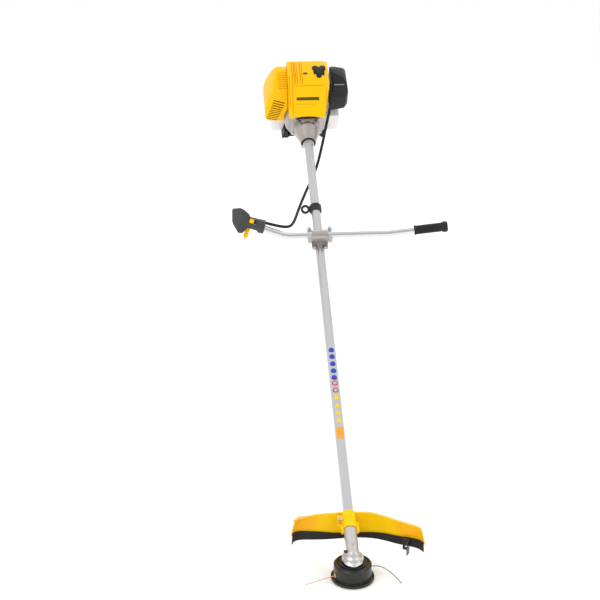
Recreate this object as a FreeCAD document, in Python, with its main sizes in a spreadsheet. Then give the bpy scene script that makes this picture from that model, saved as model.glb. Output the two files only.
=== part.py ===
"""String trimmer: a petrol engine, a straight drive tube, a bevel gear case and a line head.

World frame: origin on the ground under the centre of the line head, +Z up, +Y towards the engine.
Tool frame: X across, Y along the drive tube from the gear case to the engine, Z out of its top side.
Grip frame: X along the throttle grip, away from the tube, Y towards the ground side of the bar.
"""

import FreeCAD, Part
import math
import os
import re

import Sketcher

V = FreeCAD.Vector
doc = FreeCAD.newDocument("StringTrimmer")

drivingSizes = [
    ("shaftAngle", 30, "angle between the drive tube and the ground"),
    ("gearHeight", 70.5, "height of the point where the two gear axes meet"),
    ("tubeDia", 28, "outer diameter of the drive tube"),
    ("tubeWall", 1.5, "wall of the drive tube"),
    ("tubeStart", 40, "lower end of the drive tube"),
    ("tubeEnd", 1522, "upper end of the drive tube"),
    ("shaftDia", 8, "diameter of the drive shaft"),
    ("bushLength", 30, "length of one shaft bush"),
    ("bushStep", 380, "distance between shaft bushes"),
    ("bushCount", 4, "number of shaft bushes"),
    ("slideFit", 0.05, "radial clearance of a running fit"),
    ("headRadius", 49, "outer radius of the line head"),
    ("flangeRadius", 56, "radius of the line head's lower flange"),
    ("headTop", 44, "height of the line head's shoulder"),
    ("bossRadius", 36, "radius of the step on top of the line head"),
    ("bossTop", 50, "height of the step on top of the line head"),
    ("lineDia", 2.4, "diameter of the cutting line"),
    ("barDia", 22, "diameter of the handlebar tube"),
    ("barWall", 1.5, "wall of the handlebar tube"),
    ("barPlace", 1062, "distance of the handlebar along the drive tube"),
    ("barRise", 35, "height of the handlebar's axis over the tube's axis"),
    ("gripDia", 30, "diameter of the plain grip"),
    ("gripLength", 108, "length of the plain grip"),
    ("hangerPlace", 1200, "distance of the harness eye along the drive tube"),
    ("eyeOffset", 32, "distance of the harness eye from the tube's axis"),
    ("eyeDia", 14, "diameter of the harness eye"),
    ("cableDia", 9, "diameter of the throttle cable's conduit"),
    ("engineStart", 1490, "distance of the clutch case's mouth along the tube"),
    ("caseFlange", 94, "length of the clutch case"),
    ("fanRadius", 70, "outer radius of the fan housing"),
    ("fanDepth", 50, "depth of the fan housing"),
    ("cylinderPlace", 1677, "distance of the cylinder's axis along the tube"),
    ("boreDia", 40, "bore of the cylinder"),
    ("coverWall", 2.5, "wall of the moulded covers"),
    ("tankHalfWidth", 116, "half the width of the fuel tank"),
]

sheet = doc.addObject("Spreadsheet::Sheet", "Sizes")
aliases = set()
for row, (alias, number, note) in enumerate(drivingSizes, start=1):
    sheet.set("A%d" % row, note)
    sheet.set("B%d" % row, str(number))
    sheet.setAlias("B%d" % row, alias)
    aliases.add(alias)
doc.recompute()


def bound(text):
    """The same expression with every size named as a cell of the sheet."""
    def cell(word):
        name = word.group(0)
        return "Sizes." + name if name in aliases else name

    return re.sub(r"[A-Za-z]\w*", cell, str(text))


def size(text):
    return float(sheet.evalExpression(str(text)))


toolFrame = FreeCAD.Placement(V(0, 0, size("gearHeight")), FreeCAD.Rotation(V(1, 0, 0), size("shaftAngle")))
apexFrame = FreeCAD.Placement(V(0, 0, size("gearHeight")), FreeCAD.Rotation())
groundFrame = FreeCAD.Placement()

# The throttle grip: its axes are given in the world frame, and it tilts by gripTilt from the level.
gripOrigin = toolFrame.multVec(V(-159, 1079.3, 56.9))
gripLevel = FreeCAD.Rotation(V(-1, 0, 0), V(0, -0.951, 0.308), V(0, 0.308, 0.951), "XYZ")
gripTilt = 16
gripFrame = FreeCAD.Placement(gripOrigin, gripLevel.multiply(FreeCAD.Rotation(V(0, 1, 0), -gripTilt)))

subParts = []


def keep(piece, label, frame=groundFrame):
    """Names a finished sub-part and puts it in its place."""
    piece.Label = label
    piece.Placement = frame
    subParts.append(piece)
    return piece


# ---------------------------------------------------------------- sketched bodies


def originPlane(body, role):
    return [feature for feature in body.Origin.OriginFeatures if feature.Role == role][0]


def outlineSketch(body, role, points):
    """A closed outline of straight lines, every corner held from the origin by a size of the sheet."""
    sketch = body.newObject("Sketcher::SketchObject", "Outline")
    sketch.AttachmentSupport = [(originPlane(body, role), "")]
    sketch.MapMode = "FlatFace"
    corners = [V(size(u), size(v), 0) for u, v in points]
    count = len(corners)
    for i in range(count):
        sketch.addGeometry(Part.LineSegment(corners[i], corners[(i + 1) % count]), False)
    for i in range(count):
        sketch.addConstraint(Sketcher.Constraint("Coincident", i, 2, (i + 1) % count, 1))
    for i, corner in enumerate(points):
        for kind, text in zip(("DistanceX", "DistanceY"), corner):
            index = sketch.addConstraint(Sketcher.Constraint(kind, -1, 1, i, 1, size(text)))
            if bound(text) != str(text):
                sketch.setExpression("Constraints[%d]" % index, bound(text))
    return sketch


def turned(label, points, frame=toolFrame):
    """A body of revolution about the frame's Y axis. Points are (radius, distance along Y)."""
    body = doc.addObject("PartDesign::Body", label)
    sketch = outlineSketch(body, "XY_Plane", points)
    turn = body.newObject("PartDesign::Revolution", "Turn")
    turn.Profile = sketch
    turn.ReferenceAxis = (sketch, ["V_Axis"])
    turn.Angle = 360
    return keep(body, label, frame)


def upright(label, points, frame=groundFrame):
    """A body of revolution about the frame's Z axis. Points are (radius, height)."""
    body = doc.addObject("PartDesign::Body", label)
    sketch = outlineSketch(body, "XZ_Plane", points)
    turn = body.newObject("PartDesign::Revolution", "Turn")
    turn.Profile = sketch
    turn.ReferenceAxis = (sketch, ["V_Axis"])
    turn.Angle = 360
    return keep(body, label, frame)


# ---------------------------------------------------------------- primitives and booleans

alongX = FreeCAD.Rotation(V(0, 1, 0), 90)
alongY = FreeCAD.Rotation(V(1, 0, 0), -90)
alongZ = FreeCAD.Rotation()


def bindSizes(piece, **sizes):
    for name, text in sizes.items():
        setattr(piece, name, size(text))
        if bound(text) != str(text):
            piece.setExpression(name, bound(text))
    return piece


def cylinder(radius, length, at, rotation=alongY):
    piece = bindSizes(doc.addObject("Part::Cylinder", "Cylinder"), Radius=radius, Height=length)
    piece.Placement = FreeCAD.Placement(V(*[size(part) for part in at]), rotation)
    return piece


def box(low, high):
    """A box between two corners given as sizes of the sheet."""
    spans = ["(%s)-(%s)" % (b, a) for a, b in zip(low, high)]
    piece = bindSizes(doc.addObject("Part::Box", "Box"), Length=spans[0], Width=spans[1], Height=spans[2])
    piece.Placement.Base = V(*[size(part) for part in low])
    return piece


def fuse(pieces):
    joined = doc.addObject("Part::MultiFuse", "Joined")
    joined.Shapes = pieces
    return joined


def cut(base, tools):
    trimmed = doc.addObject("Part::Cut", "Trimmed")
    trimmed.Base = base
    trimmed.Tool = tools[0] if len(tools) == 1 else fuse(tools)
    return trimmed


def rounded(base, radius, wanted):
    """Rounds the edges of a primitive or boolean for which wanted(edge) is true."""
    doc.recompute()
    chosen = [i for i, edge in enumerate(base.Shape.Edges, start=1) if wanted(edge)]
    smooth = doc.addObject("Part::Fillet", "Rounded")
    smooth.Base = base
    smooth.Edges = [(i, radius, radius) for i in chosen]
    return smooth


# ---------------------------------------------------------------- shapes set directly


def shaped(label, shape, frame=toolFrame):
    piece = doc.addObject("Part::Feature", label)
    piece.Shape = shape
    return keep(piece, label, frame.multiply(shape.Placement))


def group(label, shapes, frame=toolFrame):
    return shaped(label, Part.makeCompound(shapes), frame)


def rod(radius, start, end):
    """A solid cylinder between two points."""
    return Part.makeCylinder(radius, start.distanceToPoint(end), start, end - start)


def ring(inner, outer, start, end):
    return rod(outer, start, end).cut(rod(inner, start, end))


def slab(low, high):
    return Part.makeBox(high[0] - low[0], high[1] - low[1], high[2] - low[2], V(*low))


def prism(points, direction):
    """A closed outline of straight lines extruded along a vector."""
    return Part.Face(Part.makePolygon(points + points[:1])).extrude(direction)


def routeWire(points, radii):
    """Straight runs joined by tangent arcs, one radius for each inner point."""
    edges = []
    last = points[0]
    for before, corner, after, radius in zip(points, points[1:], points[2:], radii):
        inward = (before - corner).normalize()
        outward = (after - corner).normalize()
        turn = math.pi - inward.getAngle(outward)
        reach = radius * math.tan(turn / 2)
        start = corner + inward * reach
        end = corner + outward * reach
        toCentre = (inward + outward).normalize()
        middle = corner + toCentre * (radius / math.cos(turn / 2) - radius)
        edges.append(Part.LineSegment(last, start).toShape())
        edges.append(Part.Arc(start, middle, end).toShape())
        last = end
    edges.append(Part.LineSegment(last, points[-1]).toShape())
    return Part.Wire(edges)


def largestRadii(points):
    """For each inner point, the radius that its two runs allow."""
    radii = []
    for before, corner, after in zip(points, points[1:], points[2:]):
        turn = math.pi - (before - corner).getAngle(after - corner)
        shorter = min(corner.distanceToPoint(before), corner.distanceToPoint(after))
        radii.append(0.45 * shorter / math.tan(turn / 2))
    return radii


def sweptRod(wire, radius):
    first = wire.Edges[0]
    start = first.valueAt(first.FirstParameter)
    direction = first.tangentAt(first.FirstParameter)
    profile = Part.Wire(Part.makeCircle(radius, start, direction))
    return wire.makePipeShell([profile], True, True)


def reportCord(name, wire, radius, radii, shape):
    """Prints the radii of a cord and compares its volume with section times length."""
    expected = math.pi * radius ** 2 * wire.Length
    print("%s: length %.1f, radii %s, volume ratio %.4f"
          % (name, wire.Length, [round(r, 1) for r in radii], shape.Volume / expected))


# ---------------------------------------------------------------- drive tube and driveline

tubeRadius = size("tubeDia/2")
shaftRadius = size("shaftDia/2")
slideFit = size("slideFit")

turned("drive_tube", [("tubeDia/2-tubeWall", "tubeStart"), ("tubeDia/2", "tubeStart"),
                      ("tubeDia/2", "tubeEnd"), ("tubeDia/2-tubeWall", "tubeEnd")])

bushPlaces = [180 + size("bushStep") * i for i in range(int(size("bushCount")))]
group("shaft_bushes", [ring(shaftRadius + slideFit, tubeRadius - size("tubeWall") - 0.02,
                            V(0, place, 0), V(0, place + size("bushLength"), 0)) for place in bushPlaces])

turned("drive_shaft", [(0, 30), ("shaftDia/2", 30), ("shaftDia/2", "engineStart+46"),
                       (0, "engineStart+46")])

# Bevel gears whose axes meet at the apex, at an angle of 90 degrees plus the tube's angle.
pinionTeeth = 12
outputTeeth = 17
coneDistance = 12.0
faceWidth = 4.0
axisAngle = math.radians(90 + size("shaftAngle"))
gearRatio = outputTeeth / pinionTeeth
pinionCone = math.atan(math.sin(axisAngle) / (gearRatio + math.cos(axisAngle)))
outputCone = axisAngle - pinionCone


def conePoint(distance, coneAngle, turn):
    """A point of a cone about +Z whose tip is the apex."""
    radius = distance * math.sin(coneAngle)
    return V(radius * math.cos(turn), radius * math.sin(turn), distance * math.cos(coneAngle))


def bevelTooth(coneAngle, turn, teeth):
    """One straight tooth, tapering to the apex."""
    rise, depth = math.radians(3.6), math.radians(6.5)
    halfRoot, halfTip = 0.26 * math.pi / teeth * 2, 0.13 * math.pi / teeth * 2
    wires = []
    for distance in (coneDistance, coneDistance - faceWidth):
        corners = [conePoint(distance, coneAngle - depth, turn - halfRoot),
                   conePoint(distance, coneAngle - depth, turn + halfRoot),
                   conePoint(distance, coneAngle + rise, turn + halfTip),
                   conePoint(distance, coneAngle + rise, turn - halfTip)]
        wires.append(Part.makePolygon(corners + corners[:1]))
    return Part.makeLoft(wires, True, True)


def bevelGear(coneAngle, teeth, firstTooth, backLength, hubRadius, hubEnd):
    """A bevel gear about +Z with its root cone, its back and a hub or shaft behind it."""
    rootAngle = coneAngle - math.radians(5.6)
    outer = conePoint(coneDistance, rootAngle, 0)
    inner = conePoint(coneDistance - faceWidth, rootAngle, 0)
    outline = [V(0, 0, inner.z), V(inner.x, 0, inner.z), V(outer.x, 0, outer.z),
               V(outer.x, 0, outer.z + backLength), V(hubRadius, 0, outer.z + backLength),
               V(hubRadius, 0, hubEnd), V(0, 0, hubEnd)]
    blank = Part.Face(Part.makePolygon(outline + outline[:1])).revolve(V(0, 0, 0), V(0, 0, 1), 360)
    toothed = [bevelTooth(coneAngle, firstTooth + 2 * math.pi * i / teeth, teeth) for i in range(teeth)]
    return blank.multiFuse(toothed).removeSplitter()


# The pinion lies along the tube: its own +Z becomes the tool frame's +Y.
pinion = bevelGear(pinionCone, pinionTeeth, -math.pi / 2, 2.0, 5.0, 36.0)
pinion = pinion.cut(Part.makeCylinder(shaftRadius, 8, V(0, 0, 30)))
pinion.rotate(V(0, 0, 0), V(1, 0, 0), -90)
shaped("pinion_gear", pinion)

# The output gear hangs under the apex: its own +Z becomes the world's -Z.
output = bevelGear(outputCone, outputTeeth, math.pi / 2, 3.5, 5.0, 46.0)
output.rotate(V(0, 0, 0), V(1, 0, 0), 180)
shaped("output_gear", output, apexFrame)

turned("clutch_drum", [("shaftDia/2", "engineStart+34"), (8.5, "engineStart+34"), (8.5, "engineStart+60"),
                       (36.5, "engineStart+60"), (36.5, "engineStart+90"), (34.3, "engineStart+90"),
                       (34.3, "engineStart+63"), (6, "engineStart+63"), (6, "engineStart+46.2"),
                       ("shaftDia/2", "engineStart+46.2")])

# ---------------------------------------------------------------- gear case


def alongNeck(distance, rise=0.0, across=0.0):
    """A point of the tool frame, seen from the apex, without the turn of that frame."""
    return toolFrame.Rotation.multVec(V(across, distance, rise))


def gearCase():
    neckRadius, barrelRadius, flangeEdge = 16.4, 17.0, 28.0
    flangeLow, flangeHigh = -13.5, -5.0
    outside = Part.makeSphere(17.6)
    outside = outside.multiFuse([
        rod(neckRadius, alongNeck(0), alongNeck(72)),
        rod(barrelRadius, V(0, 0, flangeLow), V(0, 0, 2)),
        rod(flangeEdge, V(0, 0, flangeLow), V(0, 0, flangeHigh)),
        rod(7, alongNeck(27, 8), alongNeck(27, 20)),
        rod(5, V(-15, 0, 1), V(-21, 0, 1)),
    ])
    ears = slab((-9, 46, -27), (9, 70, -12))
    ears.Placement = FreeCAD.Placement(V(0, 0, 0), toolFrame.Rotation)
    outside = outside.fuse(ears)
    hollow = Part.makeSphere(14.2).multiFuse([
        rod(13.4, V(0, 0, -8.4), V(0, 0, 2)),
        rod(13.05, V(0, 0, -14), V(0, 0, -8)),
        rod(12.05, alongNeck(0), alongNeck(39)),
        rod(tubeRadius + 0.03, alongNeck(38.5), alongNeck(73)),
    ])
    slit = slab((-1, 44, -28), (1, 73, -10))
    slit.Placement = FreeCAD.Placement(V(0, 0, 0), toolFrame.Rotation)
    scallops = [rod(6, V(31 * math.cos(a), 31 * math.sin(a), -14), V(31 * math.cos(a), 31 * math.sin(a), -4))
                for a in (math.radians(angle) for angle in range(0, 360, 60))]
    earBolt = rod(3.1, alongNeck(58, -21, -10), alongNeck(58, -21, 10))
    under = rod(40, V(0, 0, flangeLow - 20), V(0, 0, flangeLow))
    tools = Part.makeCompound(scallops + [slit, earBolt, under])
    return outside.cut(hollow).cut(tools).removeSplitter()


shaped("gear_case", gearCase(), apexFrame)

# All ball bearings are plain rings, each closed on its seat and free on its shaft.
uprightBearing = ring(5 + slideFit, 13.0, V(0, 0, -14), V(0, 0, -8.6))
uprightBearing.Placement = FreeCAD.Placement(V(0, 0, 0), toolFrame.Rotation.inverted())
bearingSeats = [(5.0, 12.0, 15, 24), (5.0, 12.0, 26, 35), (8.5, 17.5, 1527, 1539),
                (7.5, 19.0, 1640, 1652), (7.5, 19.0, 1700, 1712)]
group("ball_bearings", [uprightBearing] + [ring(inner + slideFit, outer, V(0, a, 0), V(0, b, 0))
                                           for inner, outer, a, b in bearingSeats])

# ---------------------------------------------------------------- line head

upright("blade_flange", [("5+slideFit", 50.2), (22, 50.2), (25, 52), (25, 56.2), ("5+slideFit", 56.2)])

upright("head_housing_shell", [
    ("5+slideFit", 26), ("5+slideFit", "bossTop"), ("bossRadius", "bossTop"), ("bossRadius", "headTop+1.5"),
    ("headRadius-2", "headTop+1.5"), ("headRadius", "headTop-0.5"), ("headRadius", 10), ("flangeRadius", 9),
    ("flangeRadius", 2.5), (31.5, 2.5), (31.5, 5), ("headRadius-3", 5), ("headRadius-3", 41),
    (9, 41), (9, 26)])
headShell = subParts.pop()

lineAngle = math.radians(201)
lineHeight = 21.0
firstDirection = V(math.cos(lineAngle), math.sin(lineAngle), 0)
lineDirections = [firstDirection, firstDirection * -1]


def eyeHole(direction, name):
    hole = doc.addObject("Part::Cylinder", name)
    hole.Radius = 4.6
    hole.Height = 16
    start = direction * 40 + V(0, 0, lineHeight)
    hole.Placement = FreeCAD.Placement(start, FreeCAD.Rotation(V(0, 0, 1), direction))
    return hole


keep(cut(headShell, [eyeHole(direction, "EyeHole") for direction in lineDirections]), "head_housing")


def eyelet(direction):
    """A brass bush through the head's wall, with a small rim outside."""
    start = direction * 44 + V(0, 0, lineHeight)
    wall = direction * 49.2 + V(0, 0, lineHeight)
    end = direction * 51.0 + V(0, 0, lineHeight)
    return rod(4.5, start, wall).fuse(rod(5.6, wall, end)).cut(rod(1.5, start - direction, end + direction))


group("line_eyelets", [eyelet(direction) for direction in lineDirections], groundFrame)

lineRadius = size("lineDia/2")
leftTail = [V(-45.0, -17.3, 21), V(-66, -25.0, 20.2), V(-95, -32.5, 16.5), V(-125, -34.5, 8.5)]
rightTail = [V(45.0, 17.3, 21), V(64, 24.0, 20.5), V(86, 14.0, 17.5), V(106, -12.0, 11.5), V(121, -40, 4.0)]
tailShapes = []
for name, tail in (("left line", leftTail), ("right line", rightTail)):
    tailRadii = largestRadii(tail)
    tailWire = routeWire(tail, tailRadii)
    tailShapes.append(sweptRod(tailWire, lineRadius))
    reportCord(name, tailWire, lineRadius, tailRadii, tailShapes[-1])
group("line_tails", tailShapes, groundFrame)

upright("bump_knob", [(0, 0), (26, 0), (30, 1.5), (30, 4.2), (12.6, 4.2), (12.6, 30), (9.4, 30),
                      (9.4, 8), (0, 8)])
upright("spool", [(13, 6), (43, 6), (43, 8.2), (18, 8.2), (18, 31.6), (43, 31.6), (43, 33.8), (13, 33.8)])
upright("wound_line", [(18.1, 8.4), (36, 8.4), (38, 10), (38, 30), (36, 31.4), (18.1, 31.4)])


def feedSpring():
    wireRadius, coilRadius = 0.6, 15.5
    low, high = 34.6, 40.3
    helix = Part.makeHelix(1.9, high - low, coilRadius)
    helix.translate(V(0, 0, low))
    profile = Part.Wire(Part.makeCircle(wireRadius, V(coilRadius, 0, low), V(0, 1, 0)))
    return Part.Wire(helix).makePipeShell([profile], True, True)


shaped("feed_spring", feedSpring(), groundFrame)

# ---------------------------------------------------------------- guard

# Plan points of the guard's wall from its left end to its right end: x, y, and the heights of the
# apron's lower edge, the shield's lower edge and the shield's upper edge.
guardPlan = [(-150, 104, 45, 67, 112), (-143, 117, 46, 66, 116), (-95, 120, 49, 66, 126),
             (-29, 113, 53, 62, 134), (46, 110, 54, 62, 134), (86, 97, 54, 66, 131),
             (134, 68, 54, 70, 127), (180, 40, 54, 73, 123), (189, 24, 54, 74, 119)]
guardWall = 3.0
topLean = 12.0
apronWall = 2.6


def splineThrough(points):
    curve = Part.BSplineCurve()
    curve.interpolate(points)
    return curve.toShape()


def ruledWall(low, high, outward, lowOffset, highOffset):
    """A wall between a lower and an upper curve, thickened to its outer side."""
    def shifted(points, distance):
        return [point + out * distance for point, out in zip(points, outward)]

    curves = [splineThrough(shifted(low, lowOffset[0])), splineThrough(shifted(high, highOffset[0])),
              splineThrough(shifted(high, highOffset[1])), splineThrough(shifted(low, lowOffset[1]))]
    faces = [Part.makeRuledSurface(a, b) for a, b in zip(curves, curves[1:] + curves[:1])]
    for end in (0, -1):
        corners = [curve.Vertexes[end].Point for curve in curves]
        faces.append(Part.Face(Part.makePolygon(corners + corners[:1])))
    shell = Part.makeShell(faces)
    shell.sewShape()
    solid = Part.makeSolid(shell)
    if solid.Volume < 0:
        solid.reverse()
    return solid


def guardNormals():
    """For each plan point, the level direction away from the head."""
    normals = []
    for i in range(len(guardPlan)):
        before = guardPlan[max(i - 1, 0)]
        after = guardPlan[min(i + 1, len(guardPlan) - 1)]
        normals.append(V(before[1] - after[1], after[0] - before[0], 0).normalize())
    return normals


outward = guardNormals()
lowEdge = [V(x, y, low) for x, y, hem, low, top in guardPlan]
highEdge = [V(x, y, top) - out * topLean for (x, y, hem, low, top), out in zip(guardPlan, outward)]
apronEdge = [V(x, y, hem) for x, y, hem, low, top in guardPlan]
apronLap = 8.0
apronTop = [V(x, y, low + apronLap) - out * (topLean * apronLap / (top - low))
            for (x, y, hem, low, top), out in zip(guardPlan, outward)]

collarInner, collarOuter = tubeRadius + 0.05, 18.0
collarStart, collarEnd = 74.0, 121.0


def toolRod(radius, start, end):
    return rod(radius, toolFrame.multVec(V(*start)), toolFrame.multVec(V(*end)))


def guardShield():
    wall = ruledWall(lowEdge, highEdge, outward, (0.0, guardWall), (0.0, guardWall))
    collar = toolRod(collarOuter, (0, collarStart, 0), (0, collarEnd, 0))
    blocks = [slab((-31, 86, -10), (0, 112, 6)), slab((-4, 96, -32), (4, 112, -10)),
              slab((-23, 64, -9), (-16.6, 92, 3)), slab((16.6, 64, -9), (23, 92, 3)),
              slab((-23, 82, -9), (23, 92, 3))]
    for block in blocks:
        block.Placement = toolFrame
    body = wall.multiFuse([collar] + blocks)
    bore = toolRod(collarInner, (0, collarStart - 1, 0), (0, collarEnd + 40, 0))
    bolt = toolRod(3.1, (-25, 99, -12), (-25, 99, 8))
    return body.cut(bore).cut(bolt).removeSplitter()


shaped("guard_shield", guardShield(), groundFrame)
apronFaces = (-apronWall - 0.8, -0.8)
shaped("guard_apron", ruledWall(apronEdge, apronTop, outward, apronFaces, apronFaces), groundFrame)


def lineCutter():
    """An angled steel blade on the inner face of the apron."""
    plate = slab((-9, -2.5, 46), (9, 0, 79))
    blade = slab((7, -16, 38), (9.5, 0, 76))
    body = plate.fuse(blade)
    body = body.cut(rod(2.6, V(0, -3, 56), V(0, 1, 56))).cut(rod(2.6, V(0, -3, 70), V(0, 1, 70)))
    return body


cutterAngle = -30
cutterFrame = FreeCAD.Placement(V(146.2, 52.2, 0), FreeCAD.Rotation(V(0, 0, 1), cutterAngle))
shaped("line_cutter", lineCutter(), cutterFrame)

# ---------------------------------------------------------------- handlebar

barPlace = size("barPlace")
barRise = size("barRise")
toolBack = toolFrame.inverse()
barRoute = [toolBack.multVec(gripFrame.multVec(V(41, 0, -5))), V(-104, barPlace, barRise),
            V(212, barPlace, barRise), V(383, barPlace, barRise + 24)]
barWire = routeWire(barRoute, [95, 160])
barShape = sweptRod(barWire, size("barDia/2")).cut(sweptRod(barWire, size("barDia/2-barWall")))
shaped("handlebar", barShape)

clampCorners = [(x, along) for x in (-31, 31) for along in (-16, 16)]
clampEars = [(-37, -25), (25, 37)]


def clampHoles():
    return [cylinder(3.05, 60, (x, "barPlace+%d" % along, 0), alongZ) for x, along in clampCorners]


def clampBores():
    return [cylinder("tubeDia/2+0.03", 60, (0, "barPlace-30", 0)),
            cylinder("barDia/2+0.03", 80, (-40, "barPlace", "barRise"), alongX)]


saddleEars = [box((a, "barPlace-22", "barRise-11"), (b, "barPlace+22", "barRise-0.1")) for a, b in clampEars]
saddleFeet = [box((a, "barPlace-29", 2), (b, "barPlace-15", 14)) for a, b in ((-24, -12), (12, 24))]
saddleBlock = box((-25, "barPlace-15", 6), (25, "barPlace+15", "barRise-0.1"))
saddle = fuse([cylinder(19, 40, (0, "barPlace-20", 0)), saddleBlock] + saddleEars + saddleFeet)
keep(cut(saddle, clampBores() + clampHoles()), "handlebar_clamp_base", toolFrame)

hood = cylinder(16.5, 50, (-25, "barPlace", "barRise"), alongX)
capEars = [box((a, "barPlace-22", "barRise+0.1"), (b, "barPlace+22", "barRise+9")) for a, b in clampEars]
below = box((-40, "barPlace-30", "barRise-30"), (40, "barPlace+30", "barRise+0.1"))
keep(cut(fuse([hood] + capEars), [below] + clampBores() + clampHoles()), "handlebar_clamp_cap", toolFrame)

# The plain grip is pushed over the right end of the bar.
gripEnd = barRoute[3]
gripAlong = (barRoute[3] - barRoute[2]).normalize()
plainGripFrame = toolFrame.multiply(FreeCAD.Placement(gripEnd, FreeCAD.Rotation(V(0, 1, 0), gripAlong)))
turned("plain_grip", [(0, 0.1), ("barDia/2+0.02", 0.1), ("barDia/2+0.02", "-gripLength"),
                      ("gripDia/2", "-gripLength"), ("gripDia/2", -6), ("gripDia/2+1.5", -6),
                      ("gripDia/2+1.5", 2), ("gripDia/2-2", 4), (0, 4)], plainGripFrame)

# ---------------------------------------------------------------- throttle grip

blockOutline = [(55, 16), (62, 24.5), (79.5, 33), (92, 35.5), (111, 29), (114, 24.5), (105.5, -8.5),
                (100.3, -17), (79.2, -38.5), (67, -35.5), (56, -16)]
blockPlan = [(50, 15), (84, 22), (108, 17.5), (116, 12), (116, -12), (108, -17.5), (84, -22), (50, -15)]
gripStart = 7.0


def gripSolid():
    """The whole grip as one solid: collar, handle and the flared end block."""
    handle = Part.makeCone(18.6, 17.6, 40, V(20, 0, 0), V(1, 0, 0))
    collar = rod(21.0, V(gripStart + 2, 0, -2), V(24, 0, -2))
    collar = collar.fuse(rod(19.5, V(gripStart, 0, -2), V(26, 0, -2)))
    block = prism([V(x, -30, z) for x, z in blockOutline], V(0, 60, 0))
    flare = prism([V(x, y, -60) for x, y in blockPlan], V(0, 0, 120))
    return handle.multiFuse([collar, block.common(flare)])


def gripHollow():
    """What is cut out of the grip: the bar, the cable, the trigger's and switch's slots."""
    bar = sweptRod(barWire, size("barDia/2") + 0.05)
    bar.Placement = gripFrame.inverse().multiply(toolFrame)
    room = prism([V(x, -15, z) for x, z in [(62, 14), (80, 25), (100, 22), (97, -8), (78, -26), (74, -20)]],
                 V(0, 30, 0))
    triggerSlot = slab((40.5, -5.6, -60), (76, 5.6, 0))
    cableHole = rod(2.0, V(gripStart - 1, 0, 11.5), V(64, 0, 11.5))
    lockoutSlot = slab((26.5, -40, -5.6), (55, -12.6, 5.6))
    switchSlot = slab((34, 9.5, -1), (58, 30, 13))
    return bar.multiFuse([room, triggerSlot, cableHole, lockoutSlot, switchSlot])


gripBody = gripSolid().cut(gripHollow())
frontHalf = slab((-5, 0.05, -70), (130, 40, 70))
rearHalf = slab((-5, -40, -70), (130, -0.05, 70))
shaped("throttle_housing_front", gripBody.common(frontHalf), gripFrame)
shaped("throttle_housing_rear", gripBody.common(rearHalf), gripFrame)

triggerOutline = [(56, -8), (48, -15), (46.5, -21), (49, -31), (48, -43), (53, -48.5), (60.5, -47.5),
                  (63, -42), (61, -30), (66, -14), (64, -8)]
trigger = prism([V(x, -4.5, z) for x, z in triggerOutline], V(0, 9, 0))
shaped("throttle_trigger", trigger, gripFrame)

lockoutOutline = [(53.5, -14), (53.5, -17.5), (49, -21.5), (34, -23), (29, -21), (29.5, -18)]
lockout = prism([V(x, y, -4.5) for x, y in lockoutOutline], V(0, 0, 9))
shaped("lockout_lever", lockout, gripFrame)
shaped("stop_switch", slab((43, 10.2, 0), (56, 20.5, 12)), gripFrame)

# ---------------------------------------------------------------- harness eye

hangerPlace = size("hangerPlace")
eyeCentre = V(-size("eyeOffset"), hangerPlace, 0)
eyeAxis = V(0, -0.5, 0.866).normalize()


def hangerClamp():
    """A ribbed band with a flat lug, whose eye leans towards the tube's lower end."""
    lug = slab((-size("eyeOffset"), -9, -4), (-10, 9, 4))
    lug.Placement = FreeCAD.Placement(V(0, hangerPlace, 0), FreeCAD.Rotation(V(0, 0, 1), eyeAxis))
    band = rod(17.5, V(0, hangerPlace - 12, 0), V(0, hangerPlace + 12, 0))
    ribs = [rod(18.6, V(0, middle - 1.5, 0), V(0, middle + 1.5, 0))
            for middle in (hangerPlace - 9, hangerPlace, hangerPlace + 9)]
    eye = rod(14.0, eyeCentre - eyeAxis * 4, eyeCentre + eyeAxis * 4)
    solid = band.multiFuse(ribs + [lug, eye])
    solid = solid.cut(rod(tubeRadius + 0.03, V(0, hangerPlace - 20, 0), V(0, hangerPlace + 20, 0)))
    return solid.cut(rod(size("eyeDia/2"), eyeCentre - eyeAxis * 9, eyeCentre + eyeAxis * 9))


shaped("hanger_clamp", hangerClamp())

# ---------------------------------------------------------------- throttle cable

cableEnd = toolBack.multVec(gripFrame.multVec(V(gripStart, 0, 11.5)))
cableLead = toolBack.multVec(gripFrame.multVec(V(-22, 0, 11.5)))
cableRoute = [V(60, 1660, 86), V(74, 1632, 94), V(80, 1600, 84), V(71, 1570, 60), V(59, 1535, 28),
              V(46, 1493, -8), V(31, 1443, -32), V(12, 1388, -41), V(-12, 1332, -39), V(-33, 1272, -28),
              V(-50, 1216, -12), V(-64, 1165, 3), V(-75, 1128, 18), V(-87, 1101, 34), V(-105, 1085, 49),
              cableLead, cableEnd]
cableRadii = largestRadii(cableRoute)
cableWire = routeWire(cableRoute, cableRadii)
cableShape = sweptRod(cableWire, size("cableDia/2"))
reportCord("throttle cable", cableWire, size("cableDia/2"), cableRadii, cableShape)
shaped("throttle_cable", cableShape)

# ---------------------------------------------------------------- clutch case and mounting

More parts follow.
